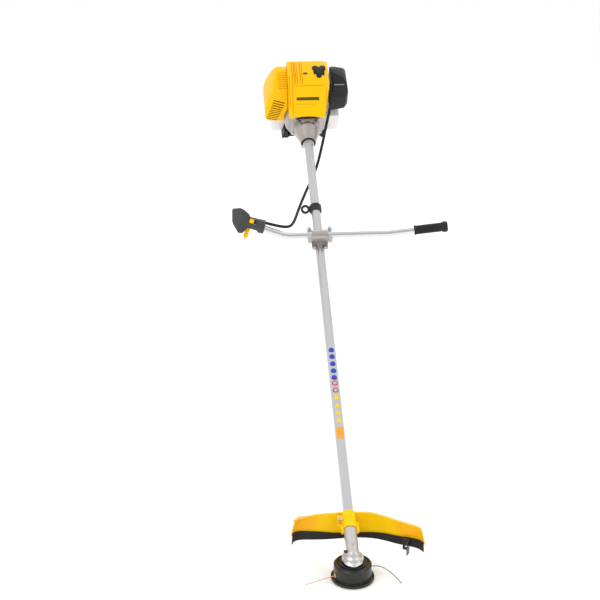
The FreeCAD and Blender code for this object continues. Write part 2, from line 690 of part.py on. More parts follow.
flangeCorners = [(x, z) for x in (-35, 35) for z in (-33, 33)]
caseShell = turned("clutch_case_shell", [
    (23.05, "engineStart"), (25.5, "engineStart"), (27, "engineStart+10"), (41, "engineStart+48"),
    (42.5, "engineStart+60"), (42.5, "engineStart+caseFlange"), (38.5, "engineStart+caseFlange"),
    (38.5, "engineStart+57"), (36, "engineStart+51"), (17.55, "engineStart+51"), (17.55, "engineStart+36"),
    (15.5, "engineStart+36"), (15.5, "engineStart+33"), (23.05, "engineStart+33")])
subParts.remove(caseShell)
flangePlate = rounded(box((-52, "engineStart+82", -44), (52, "engineStart+caseFlange", 44)), 14,
                      lambda edge: abs(edge.tangentAt(0).y) > 0.9)
flangeRing = cut(flangePlate, [cylinder(40, 20, (0, "engineStart+80", 0))]
                 + [cylinder(3.05, 20, (x, "engineStart+78", z)) for x, z in flangeCorners])
caseShell.Placement = FreeCAD.Placement()
caseBosses = [cut(cylinder(8, 18, (x, "engineStart+76", z)), [cylinder(3.05, 24, (x, "engineStart+74", z)),
                                                             cylinder(40, 24, (0, "engineStart+74", 0))])
              for x, z in flangeCorners]
casePanel = cut(box((-27, "engineStart+60", 34), (27, "engineStart+caseFlange", 48)),
                [cylinder(40, 50, (0, "engineStart+55", 0))])
casePanel = cut(casePanel, [cylinder(8.5, 30, (x, "engineStart+58", z)) for x, z in flangeCorners])
keep(fuse([caseShell, flangeRing, casePanel] + caseBosses), "clutch_case", toolFrame)

turned("vibration_ring", [(18.05, "engineStart-1"), (23, "engineStart-1"), (23, "engineStart+32"),
                          (18.05, "engineStart+32")])
collarLug = box((-24, "engineStart-9", -15), (-10, "engineStart-1.5", -3))
collarTube = fuse([cylinder(18, 40, (0, "engineStart-8", 0)), collarLug])
keep(cut(collarTube, [cylinder("tubeDia/2+0.03", 50, (0, "engineStart-12", 0))]), "tube_collar", toolFrame)

# ---------------------------------------------------------------- engine

turned("fan_housing", [(44.5, "engineStart+caseFlange+0.2"), (66, "engineStart+caseFlange+0.2"),
                       ("fanRadius", "engineStart+caseFlange+6"),
                       ("fanRadius", "engineStart+caseFlange+fanDepth"),
                       ("fanRadius-3", "engineStart+caseFlange+fanDepth"),
                       ("fanRadius-3", "engineStart+caseFlange+7"), (64.5, "engineStart+caseFlange+3.4"),
                       (44.5, "engineStart+caseFlange+3.4")])


def flywheel():
    """A fan wheel with a hub and straight blades on its rear face."""
    wheel = ring(7.5, 56, V(0, 1594, 0), V(0, 1601, 0)).fuse(ring(7.5, 16, V(0, 1590, 0), V(0, 1622, 0)))
    blades = []
    for i in range(18):
        blade = slab((22, 1600.5, -1), (60, 1620, 1))
        blade.rotate(V(0, 0, 0), V(0, 1, 0), 20 * i)
        blades.append(blade)
    return wheel.multiFuse(blades)


shaped("flywheel", flywheel())


def clutchShoe(side):
    """Half a ring of lining on its arm, held by a pin on the flywheel."""
    block = ring(14, 33.5, V(0, 1558, 0), V(0, 1578, 0)).common(slab((3, 1550, -40), (40, 1590, 40)))
    pin = rod(4, V(22, 1570, 0), V(22, 1593.9, 0))
    shoe = block.fuse(pin)
    if side < 0:
        shoe.rotate(V(0, 0, 0), V(0, 1, 0), 180)
    return shoe


group("clutch_shoes", [clutchShoe(1), clutchShoe(-1)])


def crankshaft():
    """Main journals, two webs and the crank pin, at top dead centre."""
    pieces = [rod(7.45, V(0, 1584, 0), V(0, 1656, 0)), rod(7.45, V(0, 1696, 0), V(0, 1728, 0)),
              rod(7.0, V(0, 1664, 16), V(0, 1690, 16))]
    for start, end in ((1655.5, 1667), (1687, 1696.5)):
        web = rod(30, V(0, start, 0), V(0, end, 0)).cut(slab((-40, start - 1, 12), (-13, end + 1, 40)))
        web = web.cut(slab((13, start - 1, 12), (40, end + 1, 40)))
        pieces.append(web)
    return pieces[0].multiFuse(pieces[1:])


shaped("crankshaft", crankshaft())


def crankcase():
    outside = slab((-44, 1636, -44), (44, 1716, 42))
    outside = outside.makeFillet(10, [edge for edge in outside.Edges if abs(edge.tangentAt(0).y) > 0.9])
    outside = outside.fuse(rod(30, V(0, 1677, 30), V(0, 1677, 46)))
    chamber = rod(33, V(0, 1653, 0), V(0, 1699, 0))
    seats = rod(19.02, V(0, 1635, 0), V(0, 1717, 0))
    throat = rod(size("boreDia/2") + 0.6, V(0, 1677, 10), V(0, 1677, 47))
    return outside.cut(chamber).cut(seats).cut(throat)


shaped("crankcase", crankcase())


def cylinderBlock():
    """A finned barrel on the crankcase, with exhaust and inlet ports and a slanted plug hole."""
    place = size("cylinderPlace")
    barrel = rod(26, V(0, place, 46.2), V(0, place, 108))
    fins = [slab((-40, place - 38, height), (40, place + 38, height + 2.5)) for height in range(52, 104, 7)]
    ports = [rod(12, V(-50, place, 66), V(0, place, 66)), rod(11, V(0, place, 66), V(46, place, 66))]
    boss = rod(20, V(0, place, 100), V(0, place, 112))
    solid = barrel.multiFuse(fins + ports + [boss])
    bore = rod(size("boreDia/2"), V(0, place, 46), V(0, place, 103))
    passages = [rod(8, V(-51, place, 66), V(-10, place, 66)), rod(8, V(10, place, 66), V(47, place, 66))]
    solid = solid.cut(bore).cut(passages[0]).cut(passages[1])
    return solid.cut(rod(7.05, plugPoint(-14), plugPoint(30))).cut(rod(10.5, plugPoint(5.5), plugPoint(40)))


plugDirection = V(0.766, 0, 0.643)


def plugPoint(distance):
    """A point on the spark plug's axis, counted from its seat."""
    return V(10, 1680, 109) + plugDirection * distance


shaped("cylinder", cylinderBlock())
shaped("spark_plug", rod(7.0, plugPoint(-4), plugPoint(4)).multiFuse(
    [rod(9.5, plugPoint(6), plugPoint(13)), rod(6.0, plugPoint(4), plugPoint(28))]))
plugCap = rod(10.5, plugPoint(13.4), plugPoint(40)).cut(rod(6.05, plugPoint(13), plugPoint(28.2)))
capWings = prism([plugPoint(30) + V(0, y, 0) + V(-0.643, 0, 0.766) * z
                  for y, z in [(-18, 8), (18, 8), (14, 11), (-14, 11)]], plugDirection * 9)
shaped("spark_plug_cap", plugCap.fuse(capWings))
shaped("piston", ring(14.5, size("boreDia/2-slideFit"), V(0, 1677, 68), V(0, 1677, 94)).fuse(
    rod(size("boreDia/2-slideFit"), V(0, 1677, 92), V(0, 1677, 100))))


def sideProfile(points, left, right):
    """A profile in the plane of the tube, extruded across it. Points are (distance, height)."""
    start = size("engineStart")
    return prism([V(left, start + along, rise) for along, rise in points], V(right - left, 0, 0))


def frontProfile(points, near, far):
    """A profile seen along the tube, extruded along it. Points are (across, height)."""
    start = size("engineStart")
    return prism([V(x, start + near, rise) for x, rise in points], V(0, far - near, 0))


def planProfile(points):
    """A profile seen from above the tube, extruded up through the covers. Points are (across, distance)."""
    start = size("engineStart")
    return prism([V(x, start + along, -40) for x, along in points], V(0, 0, 240))


def drawnIn(points, distance):
    """The outline with every side moved in by a distance."""
    face = Part.Face(Part.makePolygon([V(a, b, 0) for a, b in points + points[:1]]))
    inner = face.makeOffset2D(-distance).OuterWire.OrderedVertexes
    return [(vertex.X, vertex.Y) for vertex in inner]


def coverShell(side, front, plan, openings):
    """A moulded cover: side, front and plan profiles crossed, and hollowed by the cover's wall."""
    wall = size("coverWall")
    solids = []
    for a, b, c in ((side, front, plan), [drawnIn(points, wall) for points in (side, front, plan)]):
        solids.append(sideProfile(a, -150, 150).common(frontProfile(b, 40, 270)).common(planProfile(c)))
    return solids[0].cut(solids[1]).cut(Part.makeCompound(openings))


coverSide = [(52, 56), (57, 66), (139, 130), (168, 138), (238, 138), (250, 126), (250, 36), (110, 36)]
coverFront = [(-59, 36), (-60, 132), (-54, 138.5), (44, 138.5), (74, 124), (76, 96), (73, 70), (62, 36)]
coverOpenings = [rod(size("fanRadius") + 1.2, V(0, 1582, 0), V(0, 1760, 0)),
                 slab((-80, 1520, 0), (80, 1582.5, 58)), rod(264, V(0, 1520, -200), V(0, 1582.5, -200)),
                 slab((-70, 1622, 30), (-48, 1712, 108)), slab((50, 1614, 30), (80, 1718, 114)),
                 slab((-52, 1560, 20), (60, 1737, 39)),
                 slab((24, 1660, 120), (64, 1702, 150))]
coverPlan = [(-60, 50), (53, 50), (73, 138), (77, 175), (77, 260), (-60, 260)]
shaped("top_cover", coverShell(coverSide, coverFront, coverPlan, coverOpenings))

mufflerSide = [(118, -12), (118, 36), (146, 92), (212, 126), (232, 122), (240, 100), (240, -12)]
mufflerFront = [(-60.8, 127), (-94, 120), (-106, 101), (-125, 62), (-134, 30), (-133, 2), (-122, -10),
                (-60.8, -12)]
louvres = []
for step in range(10):
    slot = slab((-19, 0, -1.8), (19, 60, 1.8))
    slotPlace = V(-88 - 2.6 * step, 1596, 60 - 7 * step)
    slot.Placement = FreeCAD.Placement(slotPlace, FreeCAD.Rotation(V(0, 1, 0), 14))
    louvres.append(slot)
mufflerOpenings = louvres + [rod(63.5, V(0, 1700, 0), V(0, 1760, 0)), slab((-68, 1628, -6), (-60, 1712, 104)),
                             rod(size("fanRadius") + 1.2, V(0, 1500, 0), V(0, 1640, 0))]
mufflerPlan = [(-140, 128), (-126, 116), (-60.8, 116), (-60.8, 244), (-126, 244), (-140, 230)]
shaped("muffler_cover", coverShell(mufflerSide, mufflerFront, mufflerPlan, mufflerOpenings))


def muffler():
    """A pressed steel box with a flange that meets the exhaust port."""
    shell = slab((-102, 1642, 4), (-68, 1714, 86))
    shell = shell.makeFillet(8, shell.Edges)
    inside = slab((-99.5, 1644.5, 6.5), (-70.5, 1711.5, 83.5))
    inside = inside.makeFillet(6, inside.Edges)
    flange = ring(8, 14, V(-69, 1677, 66), V(-50.3, 1677, 66))
    return shell.cut(inside).cut(rod(8, V(-72, 1677, 66), V(-60, 1677, 66))).fuse(flange)


shaped("muffler", muffler())

filterSide = [(150, 2), (150, 60), (164, 100), (206, 121), (232, 118), (236, 90), (236, 2)]
filterFront = [(85, 120), (125, 110), (133, 101), (139, 74), (139, 22), (127, 10), (85, 0)]
filterPlan = [(85, 150), (130, 150), (140, 160), (140, 230), (132, 240), (85, 240)]
filterOpening = slab((84, 1645, 6), (88.5, 1722, 112))
shaped("air_filter_cover", coverShell(filterSide, filterFront, filterPlan, [filterOpening]))
keep(cut(box((80.5, "engineStart+152", 4), (84.7, "engineStart+234", 114)),
         [cylinder(9, 10, (78, "cylinderPlace", 66), alongX)]), "air_filter_base", toolFrame)
keep(rounded(box((88.9, "engineStart+162", 14), (110, "engineStart+228", 78)), 6,
             lambda edge: abs(edge.tangentAt(0).x) > 0.9), "filter_element", toolFrame)


def carburettor():
    """A cast body with its throat, and a boss in line with the cable's first run."""
    place = size("cylinderPlace")
    along = (cableRoute[1] - cableRoute[0]).normalize()
    body = slab((46.3, place - 20, 50), (72, place + 18, 80.5))
    body = body.fuse(rod(13, V(72, place, 66), V(80.2, place, 66)))
    body = body.fuse(rod(6, cableRoute[0] - along * 16, cableRoute[0] - along * 0.05))
    recess = rod(9.3, V(60, place, 49), V(60, place, 55.4))
    return body.cut(rod(8, V(40, place, 66), V(90, place, 66))).cut(recess)


shaped("carburettor", carburettor())
throttleArm = fuse([cylinder(6, 2.5, (64.5, "cylinderPlace+8", 80.8), alongZ),
                    box((61.5, "cylinderPlace+8", 80.8), (67.5, "cylinderPlace+26", 83.3))])
keep(throttleArm, "throttle_arm", toolFrame)
primerPlace = FreeCAD.Placement(V(60, size("cylinderPlace"), 49.7), FreeCAD.Rotation(V(1, 0, 0), -90))
turned("primer_bulb", [(0, 0), (9, 0), (9, 2), (8, 5.5), (5, 8), (0, 9)], toolFrame.multiply(primerPlace))
keep(fuse([cylinder(4, 3, (76.6, "cylinderPlace-22", 46), alongX),
           box((76.6, "cylinderPlace-25", 26), (79.6, "cylinderPlace-19", 47))]), "choke_lever", toolFrame)

# ---------------------------------------------------------------- starter

turned("starter_housing_shell", [(0, 1733), (6, 1733), (6, 1764.5), (18, 1764.5), (50, 1758.5),
                                 (59, 1743.5), (59, 1718), (62, 1718), (62, 1745), (52, 1762), (20, 1768),
                                 (0, 1768)])
starterShell = subParts.pop()
starterShell.Placement = FreeCAD.Placement()
keep(cut(starterShell, [cylinder(3, 20, (-70, 1743, 20), alongX)]), "starter_housing", toolFrame)
turned("starter_pulley", [("6+slideFit", 1737), (29, 1737), (29, 1739), (25, 1740.5), (25, 1745.5),
                          (29, 1747), (29, 1749), ("6+slideFit", 1749)])
shaped("starter_rope", rod(1.75, V(-56, 1743, 20), V(-64.8, 1743, 20)))
starterGrip = slab((-84, 1736.5, -11), (-65, 1749.5, 51))
starterGrip = starterGrip.makeFillet(4.5, starterGrip.Edges)
shaped("starter_handle", starterGrip.cut(rod(1.8, V(-66, 1743, 20), V(-64, 1743, 20))))

# ---------------------------------------------------------------- fuel tank and stand


def tankSolid(inset):
    """A saddle that wraps the crankcase from below, drawn in by inset on every side."""
    half = size("tankHalfWidth") - inset
    near, far = 1636 + inset, 1750 - inset
    low, high = -100 + inset, -20 - inset
    outline = [(half, high), (half, low + 24), (half - 24, low), (-half + 24, low), (-half, low + 24),
               (-half, high)]
    outer = prism([V(x, near, z) for x, z in outline], V(0, far - near, 0))
    saddleCut = slab((-64 - inset, near - 5, -66 - inset), (63 + inset, far + 5, 0))
    frontOutline = [(near - 1, -82), (near - 1, low - 5), (near + 18 + inset, low - 5)]
    frontCut = prism([V(-130, t, z) for t, z in frontOutline], V(260, 0, 0))
    return outer.cut(saddleCut).cut(frontCut)


tankBody = tankSolid(0)
tankBody = tankBody.makeFillet(6, [edge for edge in tankBody.Edges
                                   if min(abs(vertex.X) for vertex in edge.Vertexes) > 90])
capPlace = (89.0, -62.0)
filler = rod(17, V(capPlace[0], 1740, capPlace[1]), V(capPlace[0], 1754, capPlace[1]))
fillerHole = rod(14.5, V(capPlace[0], 1735, capPlace[1]), V(capPlace[0], 1755, capPlace[1]))
shaped("fuel_tank", tankBody.fuse(filler).cut(tankSolid(2.5)).cut(fillerHole))
turned("fuel_cap", [(0, 1748), (13.5, 1748), (13.5, 1754.3), (22, 1754.3), (22, 1764), (20, 1766), (0, 1766)],
       toolFrame.multiply(FreeCAD.Placement(V(capPlace[0], 0, capPlace[1]), FreeCAD.Rotation())))

standOutline = [(-76, -84), (-57, -84), (-50, -77), (50, -77), (55, -84), (70, -84), (64, -54), (59, -54),
                (56, -71.5), (-56, -71.5), (-59, -54), (-68, -54)]
shaped("engine_stand", frontProfile(standOutline, 112, 145.6))

# ---------------------------------------------------------------- fasteners


def capScrew(head, direction, length):
    """A socket head screw: head point under its head, with the thread along direction."""
    headEnd = head - direction * 6
    screw = rod(5.0, head, headEnd).fuse(rod(3.0, head, head + direction * length))
    return screw.cut(Part.makeCylinder(2.5, 3.5, headEnd, direction))


clampScrews = [capScrew(V(x, barPlace + along, barRise + 9), V(0, 0, -1), 19) for x, along in clampCorners]
flangeScrews = [capScrew(V(x, size("engineStart") + 76, z), V(0, 1, 0), 18) for x, z in flangeCorners]
guardScrew = capScrew(V(-25, 99, 6), V(0, 0, -1), 16)
gearScrew = capScrew(V(-9, 58, -21), V(1, 0, 0), 17)
group("socket_screws", clampScrews + flangeScrews + [guardScrew, gearScrew])

# ---------------------------------------------------------------- checks and export

doc.recompute()
for item in doc.Objects:
    bad = [word for word in item.State if word in ("Invalid", "Error")]
    if bad:
        raise RuntimeError("%s: %s" % (item.Label, bad))
labels = [piece.Label for piece in subParts]
if len(set(labels)) != len(labels) or len(labels) > 60:
    raise RuntimeError("labels repeat or are too many: %d" % len(labels))
for piece in subParts:
    if piece.Shape.isNull() or not piece.Shape.isValid() or not piece.Shape.Solids:
        raise RuntimeError("%s has no valid solid" % piece.Label)

os.makedirs("parts", exist_ok=True)
for piece in subParts:
    piece.Shape.exportStep("parts/%s.step" % piece.Label)
print("%d sub-parts written" % len(subParts))
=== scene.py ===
import math

import bmesh
import bpy
from mathutils import Matrix, Vector


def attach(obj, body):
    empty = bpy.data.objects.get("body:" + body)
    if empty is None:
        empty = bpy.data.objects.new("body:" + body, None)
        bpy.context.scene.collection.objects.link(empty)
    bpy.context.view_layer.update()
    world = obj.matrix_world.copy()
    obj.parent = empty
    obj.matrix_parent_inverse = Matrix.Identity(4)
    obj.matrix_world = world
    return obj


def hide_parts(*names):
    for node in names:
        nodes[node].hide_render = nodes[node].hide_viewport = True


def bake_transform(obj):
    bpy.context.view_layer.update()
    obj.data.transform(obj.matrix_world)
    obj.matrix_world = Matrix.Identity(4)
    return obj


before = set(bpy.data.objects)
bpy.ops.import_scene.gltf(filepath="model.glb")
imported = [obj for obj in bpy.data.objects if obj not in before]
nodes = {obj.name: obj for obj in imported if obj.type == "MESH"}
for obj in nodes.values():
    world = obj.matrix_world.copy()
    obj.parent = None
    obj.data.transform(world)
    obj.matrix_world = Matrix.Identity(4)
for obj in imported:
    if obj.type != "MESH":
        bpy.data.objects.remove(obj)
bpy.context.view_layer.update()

# the tool frame has Y along the drive tube and Z out of its top side, in millimetres
toolFrame = Matrix.Translation((0, 0, 0.0705)) @ Matrix.Rotation(math.radians(30), 4, "X")
millimetres = Matrix.Scale(0.001, 4)
toolSpace = toolFrame @ millimetres
worldSpace = millimetres
gripAxes = Matrix(((-0.9613, 0, 0.2756), (0.0849, -0.9513, 0.2961), (0.2621, 0.3082, 0.9142))).to_4x4()
gripSpace = Matrix.Translation((-0.159, 0.90625, 0.65943)) @ gripAxes @ millimetres


# ---- shared effects


def newGroup(name, inputs, outputs):
    group = bpy.data.node_groups.new(name, "ShaderNodeTree")
    for label, kind, value in inputs:
        socket = group.interface.new_socket(name=label, in_out="INPUT", socket_type="NodeSocket" + kind)
        if value is not None:
            socket.default_value = value
    for label, kind in outputs:
        group.interface.new_socket(name=label, in_out="OUTPUT", socket_type="NodeSocket" + kind)
    return group, group.nodes.new("NodeGroupInput"), group.nodes.new("NodeGroupOutput")


def mathNode(tree, operation, a, b=None):
    node = tree.nodes.new("ShaderNodeMath")
    node.operation = operation
    for socket, value in zip(node.inputs, (a, b)):
        if value is None:
            continue
        if isinstance(value, (int, float)):
            socket.default_value = value
        else:
            tree.links.new(value, socket)
    return node.outputs[0]


def mixColour(tree, factor, a, b):
    node = tree.nodes.new("ShaderNodeMix")
    node.data_type = "RGBA"
    for socket, value in ((node.inputs[0], factor), (node.inputs[6], a), (node.inputs[7], b)):
        if isinstance(value, bpy.types.NodeSocket):
            tree.links.new(value, socket)
        else:
            socket.default_value = value
    return node.outputs[2]


def noise(tree, vector, scale, detail=3.0):
    node = tree.nodes.new("ShaderNodeTexNoise")
    node.inputs["Detail"].default_value = detail
    tree.links.new(vector, node.inputs["Vector"])
    if isinstance(scale, bpy.types.NodeSocket):
        tree.links.new(scale, node.inputs["Scale"])
    else:
        node.inputs["Scale"].default_value = scale
    return node.outputs["Fac"]


def makeGrainGroup():
    # mottled colour, uneven gloss and a fine grain, all read from one position
    group, given, made = newGroup(
        "surfaceGrain",
        [("Position", "Vector", None), ("Colour", "Color", (0.5, 0.5, 0.5, 1)),
         ("Shade", "Color", (0.4, 0.4, 0.4, 1)), ("Mottle", "Float", 0.3), ("Roughness", "Float", 0.5),
         ("Unevenness", "Float", 0.1),
         ("Grain Scale", "Float", 900.0)],
        [("Colour", "Color"), ("Roughness", "Float"), ("Height", "Float")])
    position = given.outputs["Position"]
    broad = noise(group, position, 22.0)
    fine = noise(group, position, given.outputs["Grain Scale"], 2.0)
    specks = mathNode(group, "MULTIPLY", mathNode(group, "SUBTRACT", fine, 0.5), 0.5)
    both = mathNode(group, "ADD", broad, specks)
    factor = mathNode(group, "MULTIPLY", both, given.outputs["Mottle"])
    mottled = mixColour(group, factor, given.outputs["Colour"], given.outputs["Shade"])
    group.links.new(mottled, made.inputs["Colour"])
    drift = mathNode(group, "MULTIPLY", mathNode(group, "SUBTRACT", both, 0.5), given.outputs["Unevenness"])
    group.links.new(mathNode(group, "ADD", given.outputs["Roughness"], drift), made.inputs["Roughness"])
    group.links.new(fine, made.inputs["Height"])
    return group


def makeEdgeGroup():
    # a mask that is 1 on sharp outer edges, broken up by noise; it marks worn edges and also paints their
    # highlights
    group, given, made = newGroup(
        "edgeWearAndHighlight", [("Position", "Vector", None), ("Amount", "Float", 0.5)], [("Mask", "Float")])
    soft = group.nodes.new("ShaderNodeBevel")
    soft.samples = 4
    soft.inputs["Radius"].default_value = 0.0012
    flat = group.nodes.new("ShaderNodeNewGeometry")
    match = group.nodes.new("ShaderNodeVectorMath")
    match.operation = "DOT_PRODUCT"
    group.links.new(soft.outputs["Normal"], match.inputs[0])
    group.links.new(flat.outputs["Normal"], match.inputs[1])
    bend = mathNode(group, "MULTIPLY", mathNode(group, "SUBTRACT", 1.0, match.outputs["Value"]), 5.0)
    patches = noise(group, given.outputs["Position"], 140.0)
    patchy = mathNode(group, "MULTIPLY", patches, given.outputs["Amount"])
    wornAndLit = mathNode(group, "MULTIPLY", bend, patchy)
    group.links.new(mathNode(group, "MINIMUM", wornAndLit, 1.0), made.inputs["Mask"])
    return group


grainGroup = makeGrainGroup()
edgeGroup = makeEdgeGroup()


def useGroup(tree, group, values):
    node = tree.nodes.new("ShaderNodeGroup")
    node.node_tree = group
    for label, value in values.items():
        if isinstance(value, bpy.types.NodeSocket):
            tree.links.new(value, node.inputs[label])
        else:
            node.inputs[label].default_value = value
    return node.outputs


finishes = {
    # first line: colour, its darker shade, the colour of worn edges, which also paints edge highlights
    # second line: mottle, roughness, unevenness, grain scale, grain depth, metallic, coat, edge wear and
    # painted edge highlight
    "silverTube": ((0.62, 0.63, 0.64), (0.50, 0.51, 0.53), (0.85, 0.85, 0.86),
        0.5, 0.30, 0.14, 600, 0.05, 1.0, 0.0, 0.3),
    "castAlloy": ((0.66, 0.64, 0.63), (0.44, 0.42, 0.41), (0.80, 0.79, 0.78),
        0.7, 0.50, 0.20, 900, 0.30, 1.0, 0.0, 0.9),
    "paintedAlloy": ((0.52, 0.48, 0.46), (0.34, 0.31, 0.30), (0.80, 0.77, 0.75),
        0.8, 0.36, 0.20, 800, 0.30, 0.9, 0.0, 0.8),
    "machinedSteel": ((0.56, 0.56, 0.57), (0.42, 0.42, 0.43), (0.85, 0.85, 0.85),
        0.5, 0.30, 0.15, 1400, 0.08, 1.0, 0.0, 0.5),
    "zincSteel": ((0.66, 0.66, 0.63), (0.50, 0.51, 0.48), (0.88, 0.88, 0.86),
        0.5, 0.28, 0.15, 1200, 0.05, 1.0, 0.0, 0.5),
    "blackSteel": ((0.020, 0.020, 0.022), (0.035, 0.034, 0.033), (0.35, 0.35, 0.35),
        0.5, 0.30, 0.12, 900, 0.10, 0.1, 0.2, 0.8),
    "barChrome": ((0.72, 0.73, 0.74), (0.58, 0.59, 0.61), (0.90, 0.90, 0.90),
        0.4, 0.20, 0.10, 500, 0.03, 1.0, 0.0, 0.3),
    "yellowPlastic": ((0.96, 0.555, 0.0), (0.90, 0.45, 0.0), (0.98, 0.66, 0.02),
        0.5, 0.34, 0.10, 700, 0.05, 0.0, 0.05, 0.5),
    "guardPlastic": ((0.98, 0.62, 0.0), (0.92, 0.50, 0.0), (0.98, 0.72, 0.05),
        0.5, 0.34, 0.10, 700, 0.05, 0.0, 0.12, 0.4),
    # painted highlight: a paler copy of the guard yellow for its lit rim
    "rimHighlightYellow": ((0.95, 0.66, 0.12), (0.92, 0.56, 0.05), (0.98, 0.75, 0.25),
        0.5, 0.34, 0.10, 700, 0.05, 0.0, 0.1, 0.3),
    # painted shade: a deep orange for thin strips that stand for the shade in creases, grooves and recesses
    "creaseShadeOrange": ((0.72, 0.25, 0.002), (0.62, 0.20, 0.001), (0.85, 0.40, 0.02),
        0.5, 0.50, 0.10, 700, 0.05, 0.0, 0.0, 0.2),
    "blackPlastic": ((0.010, 0.010, 0.011), (0.020, 0.020, 0.021), (0.08, 0.08, 0.08),
        0.6, 0.42, 0.16, 1100, 0.22, 0.0, 0.0, 0.6),
    "greyPlastic": ((0.048, 0.047, 0.048), (0.075, 0.074, 0.075), (0.28, 0.28, 0.28),
        0.6, 0.36, 0.15, 1000, 0.25, 0.0, 0.0, 0.6),
    "headPlastic": ((0.012, 0.012, 0.012), (0.026, 0.024, 0.022), (0.16, 0.15, 0.14),
        0.7, 0.30, 0.14, 1100, 0.15, 0.0, 0.15, 0.8),
    "blackRubber": ((0.011, 0.011, 0.011), (0.022, 0.021, 0.020), (0.05, 0.05, 0.05),
        0.7, 0.62, 0.16, 800, 0.30, 0.0, 0.0, 0.5),
    "whiteTank": ((0.90, 0.88, 0.87), (0.82, 0.80, 0.79), (0.94, 0.93, 0.92),
        0.5, 0.34, 0.12, 500, 0.12, 0.0, 0.1, 0.3),
    "turnedBrass": ((0.78, 0.38, 0.10), (0.62, 0.29, 0.08), (0.92, 0.60, 0.30),
        0.5, 0.28, 0.15, 1200, 0.05, 1.0, 0.0, 0.5),
    "lineNylon": ((0.80, 0.42, 0.17), (0.66, 0.32, 0.12), (0.88, 0.60, 0.35),
        0.4, 0.35, 0.10, 900, 0.06, 0.0, 0.2, 0.2),
    "paleNylon": ((0.82, 0.72, 0.58), (0.70, 0.60, 0.46), (0.88, 0.80, 0.70),
        0.4, 0.35, 0.10, 900, 0.06, 0.0, 0.2, 0.2),
    "greyNylon": ((0.16, 0.17, 0.18), (0.11, 0.12, 0.13), (0.30, 0.30, 0.30),
        0.4, 0.35, 0.10, 900, 0.06, 0.0, 0.1, 0.2),
    "badgeBronze": ((0.085, 0.060, 0.004), (0.13, 0.095, 0.008), (0.30, 0.24, 0.05),
        0.6, 0.40, 0.12, 900, 0.05, 0.2, 0.1, 0.4),
    "greyFoam": ((0.07, 0.07, 0.07), (0.03, 0.03, 0.03), (0.12, 0.12, 0.12),
        0.9, 0.90, 0.05, 700, 0.80, 0.0, 0.0, 0.2),
    "blueInk": ((0.030, 0.050, 0.42), (0.05, 0.07, 0.50), (0.3, 0.3, 0.6),
        0.3, 0.40, 0.10, 900, 0.02, 0.0, 0.2, 0.2),
    "redInk": ((0.60, 0.02, 0.03), (0.68, 0.05, 0.05), (0.8, 0.3, 0.3),
        0.3, 0.40, 0.10, 900, 0.02, 0.0, 0.2, 0.2),
    "yellowInk": ((0.93, 0.62, 0.01), (0.85, 0.52, 0.01), (0.95, 0.75, 0.2),
        0.3, 0.40, 0.10, 900, 0.02, 0.0, 0.2, 0.2),
    "orangeInk": ((0.90, 0.36, 0.01), (0.82, 0.30, 0.01), (0.95, 0.6, 0.2),
        0.3, 0.40, 0.10, 900, 0.02, 0.0, 0.2, 0.2),
    "whiteInk": ((0.80, 0.80, 0.80), (0.72, 0.72, 0.72), (0.9, 0.9, 0.9),
        0.3, 0.40, 0.10, 900, 0.02, 0.0, 0.1, 0.2),
}


def makeFinish(name, stretch=(1, 1, 1)):
    colour, shade, edge, mottle, rough, uneven, scale, depth, metallic, coat, wearAndHighlight = finishes[name]
    finish = bpy.data.materials.new(name)
    finish.use_nodes = True
    tree = finish.node_tree
    shader = tree.nodes["Principled BSDF"]
    where = tree.nodes.new("ShaderNodeTexCoord").outputs["Object"]
    if stretch != (1, 1, 1):
        mapping = tree.nodes.new("ShaderNodeMapping")
        mapping.inputs["Rotation"].default_value = (-math.radians(30), 0, 0)
        mapping.inputs["Scale"].default_value = stretch
        tree.links.new(where, mapping.inputs["Vector"])
        where = mapping.outputs["Vector"]
    grain = useGroup(tree, grainGroup, {
        "Position": where, "Colour": (*colour, 1), "Shade": (*shade, 1), "Mottle": mottle,
        "Roughness": rough, "Unevenness": uneven, "Grain Scale": scale})
    # sharp edges take the edge colour: partly wear, partly painted highlight
    mask = useGroup(tree, edgeGroup, {"Position": where, "Amount": wearAndHighlight})["Mask"]
    tree.links.new(mixColour(tree, mask, grain["Colour"], (*edge, 1)), shader.inputs["Base Color"])
    tree.links.new(grain["Roughness"], shader.inputs["Roughness"])
    rounding = tree.nodes.new("ShaderNodeBevel")
    rounding.samples = 4
    rounding.inputs["Radius"].default_value = 0.0008
    bump = tree.nodes.new("ShaderNodeBump")
    bump.inputs["Strength"].default_value = min(1.0, depth)
    bump.inputs["Distance"].default_value = 0.0002
    tree.links.new(grain["Height"], bump.inputs["Height"])
    tree.links.new(rounding.outputs["Normal"], bump.inputs["Normal"])
    tree.links.new(bump.outputs["Normal"], shader.inputs["Normal"])
    shader.inputs["Metallic"].default_value = metallic
    # pale and yellow plastics shine less, so their colour stays deep
    plasticShine = 0.15 if colour[0] > 0.7 else 0.28
    shader.inputs["Specular IOR Level"].default_value = 0.5 if metallic > 0.4 else plasticShine
    shader.inputs["Coat Weight"].default_value = coat
    shader.inputs["Coat Roughness"].default_value = 0.12
    return finish


madeFinishes = {name: makeFinish(name) for name in finishes}
madeFinishes["silverTube"] = makeFinish("silverTube", (1, 0.03, 1))


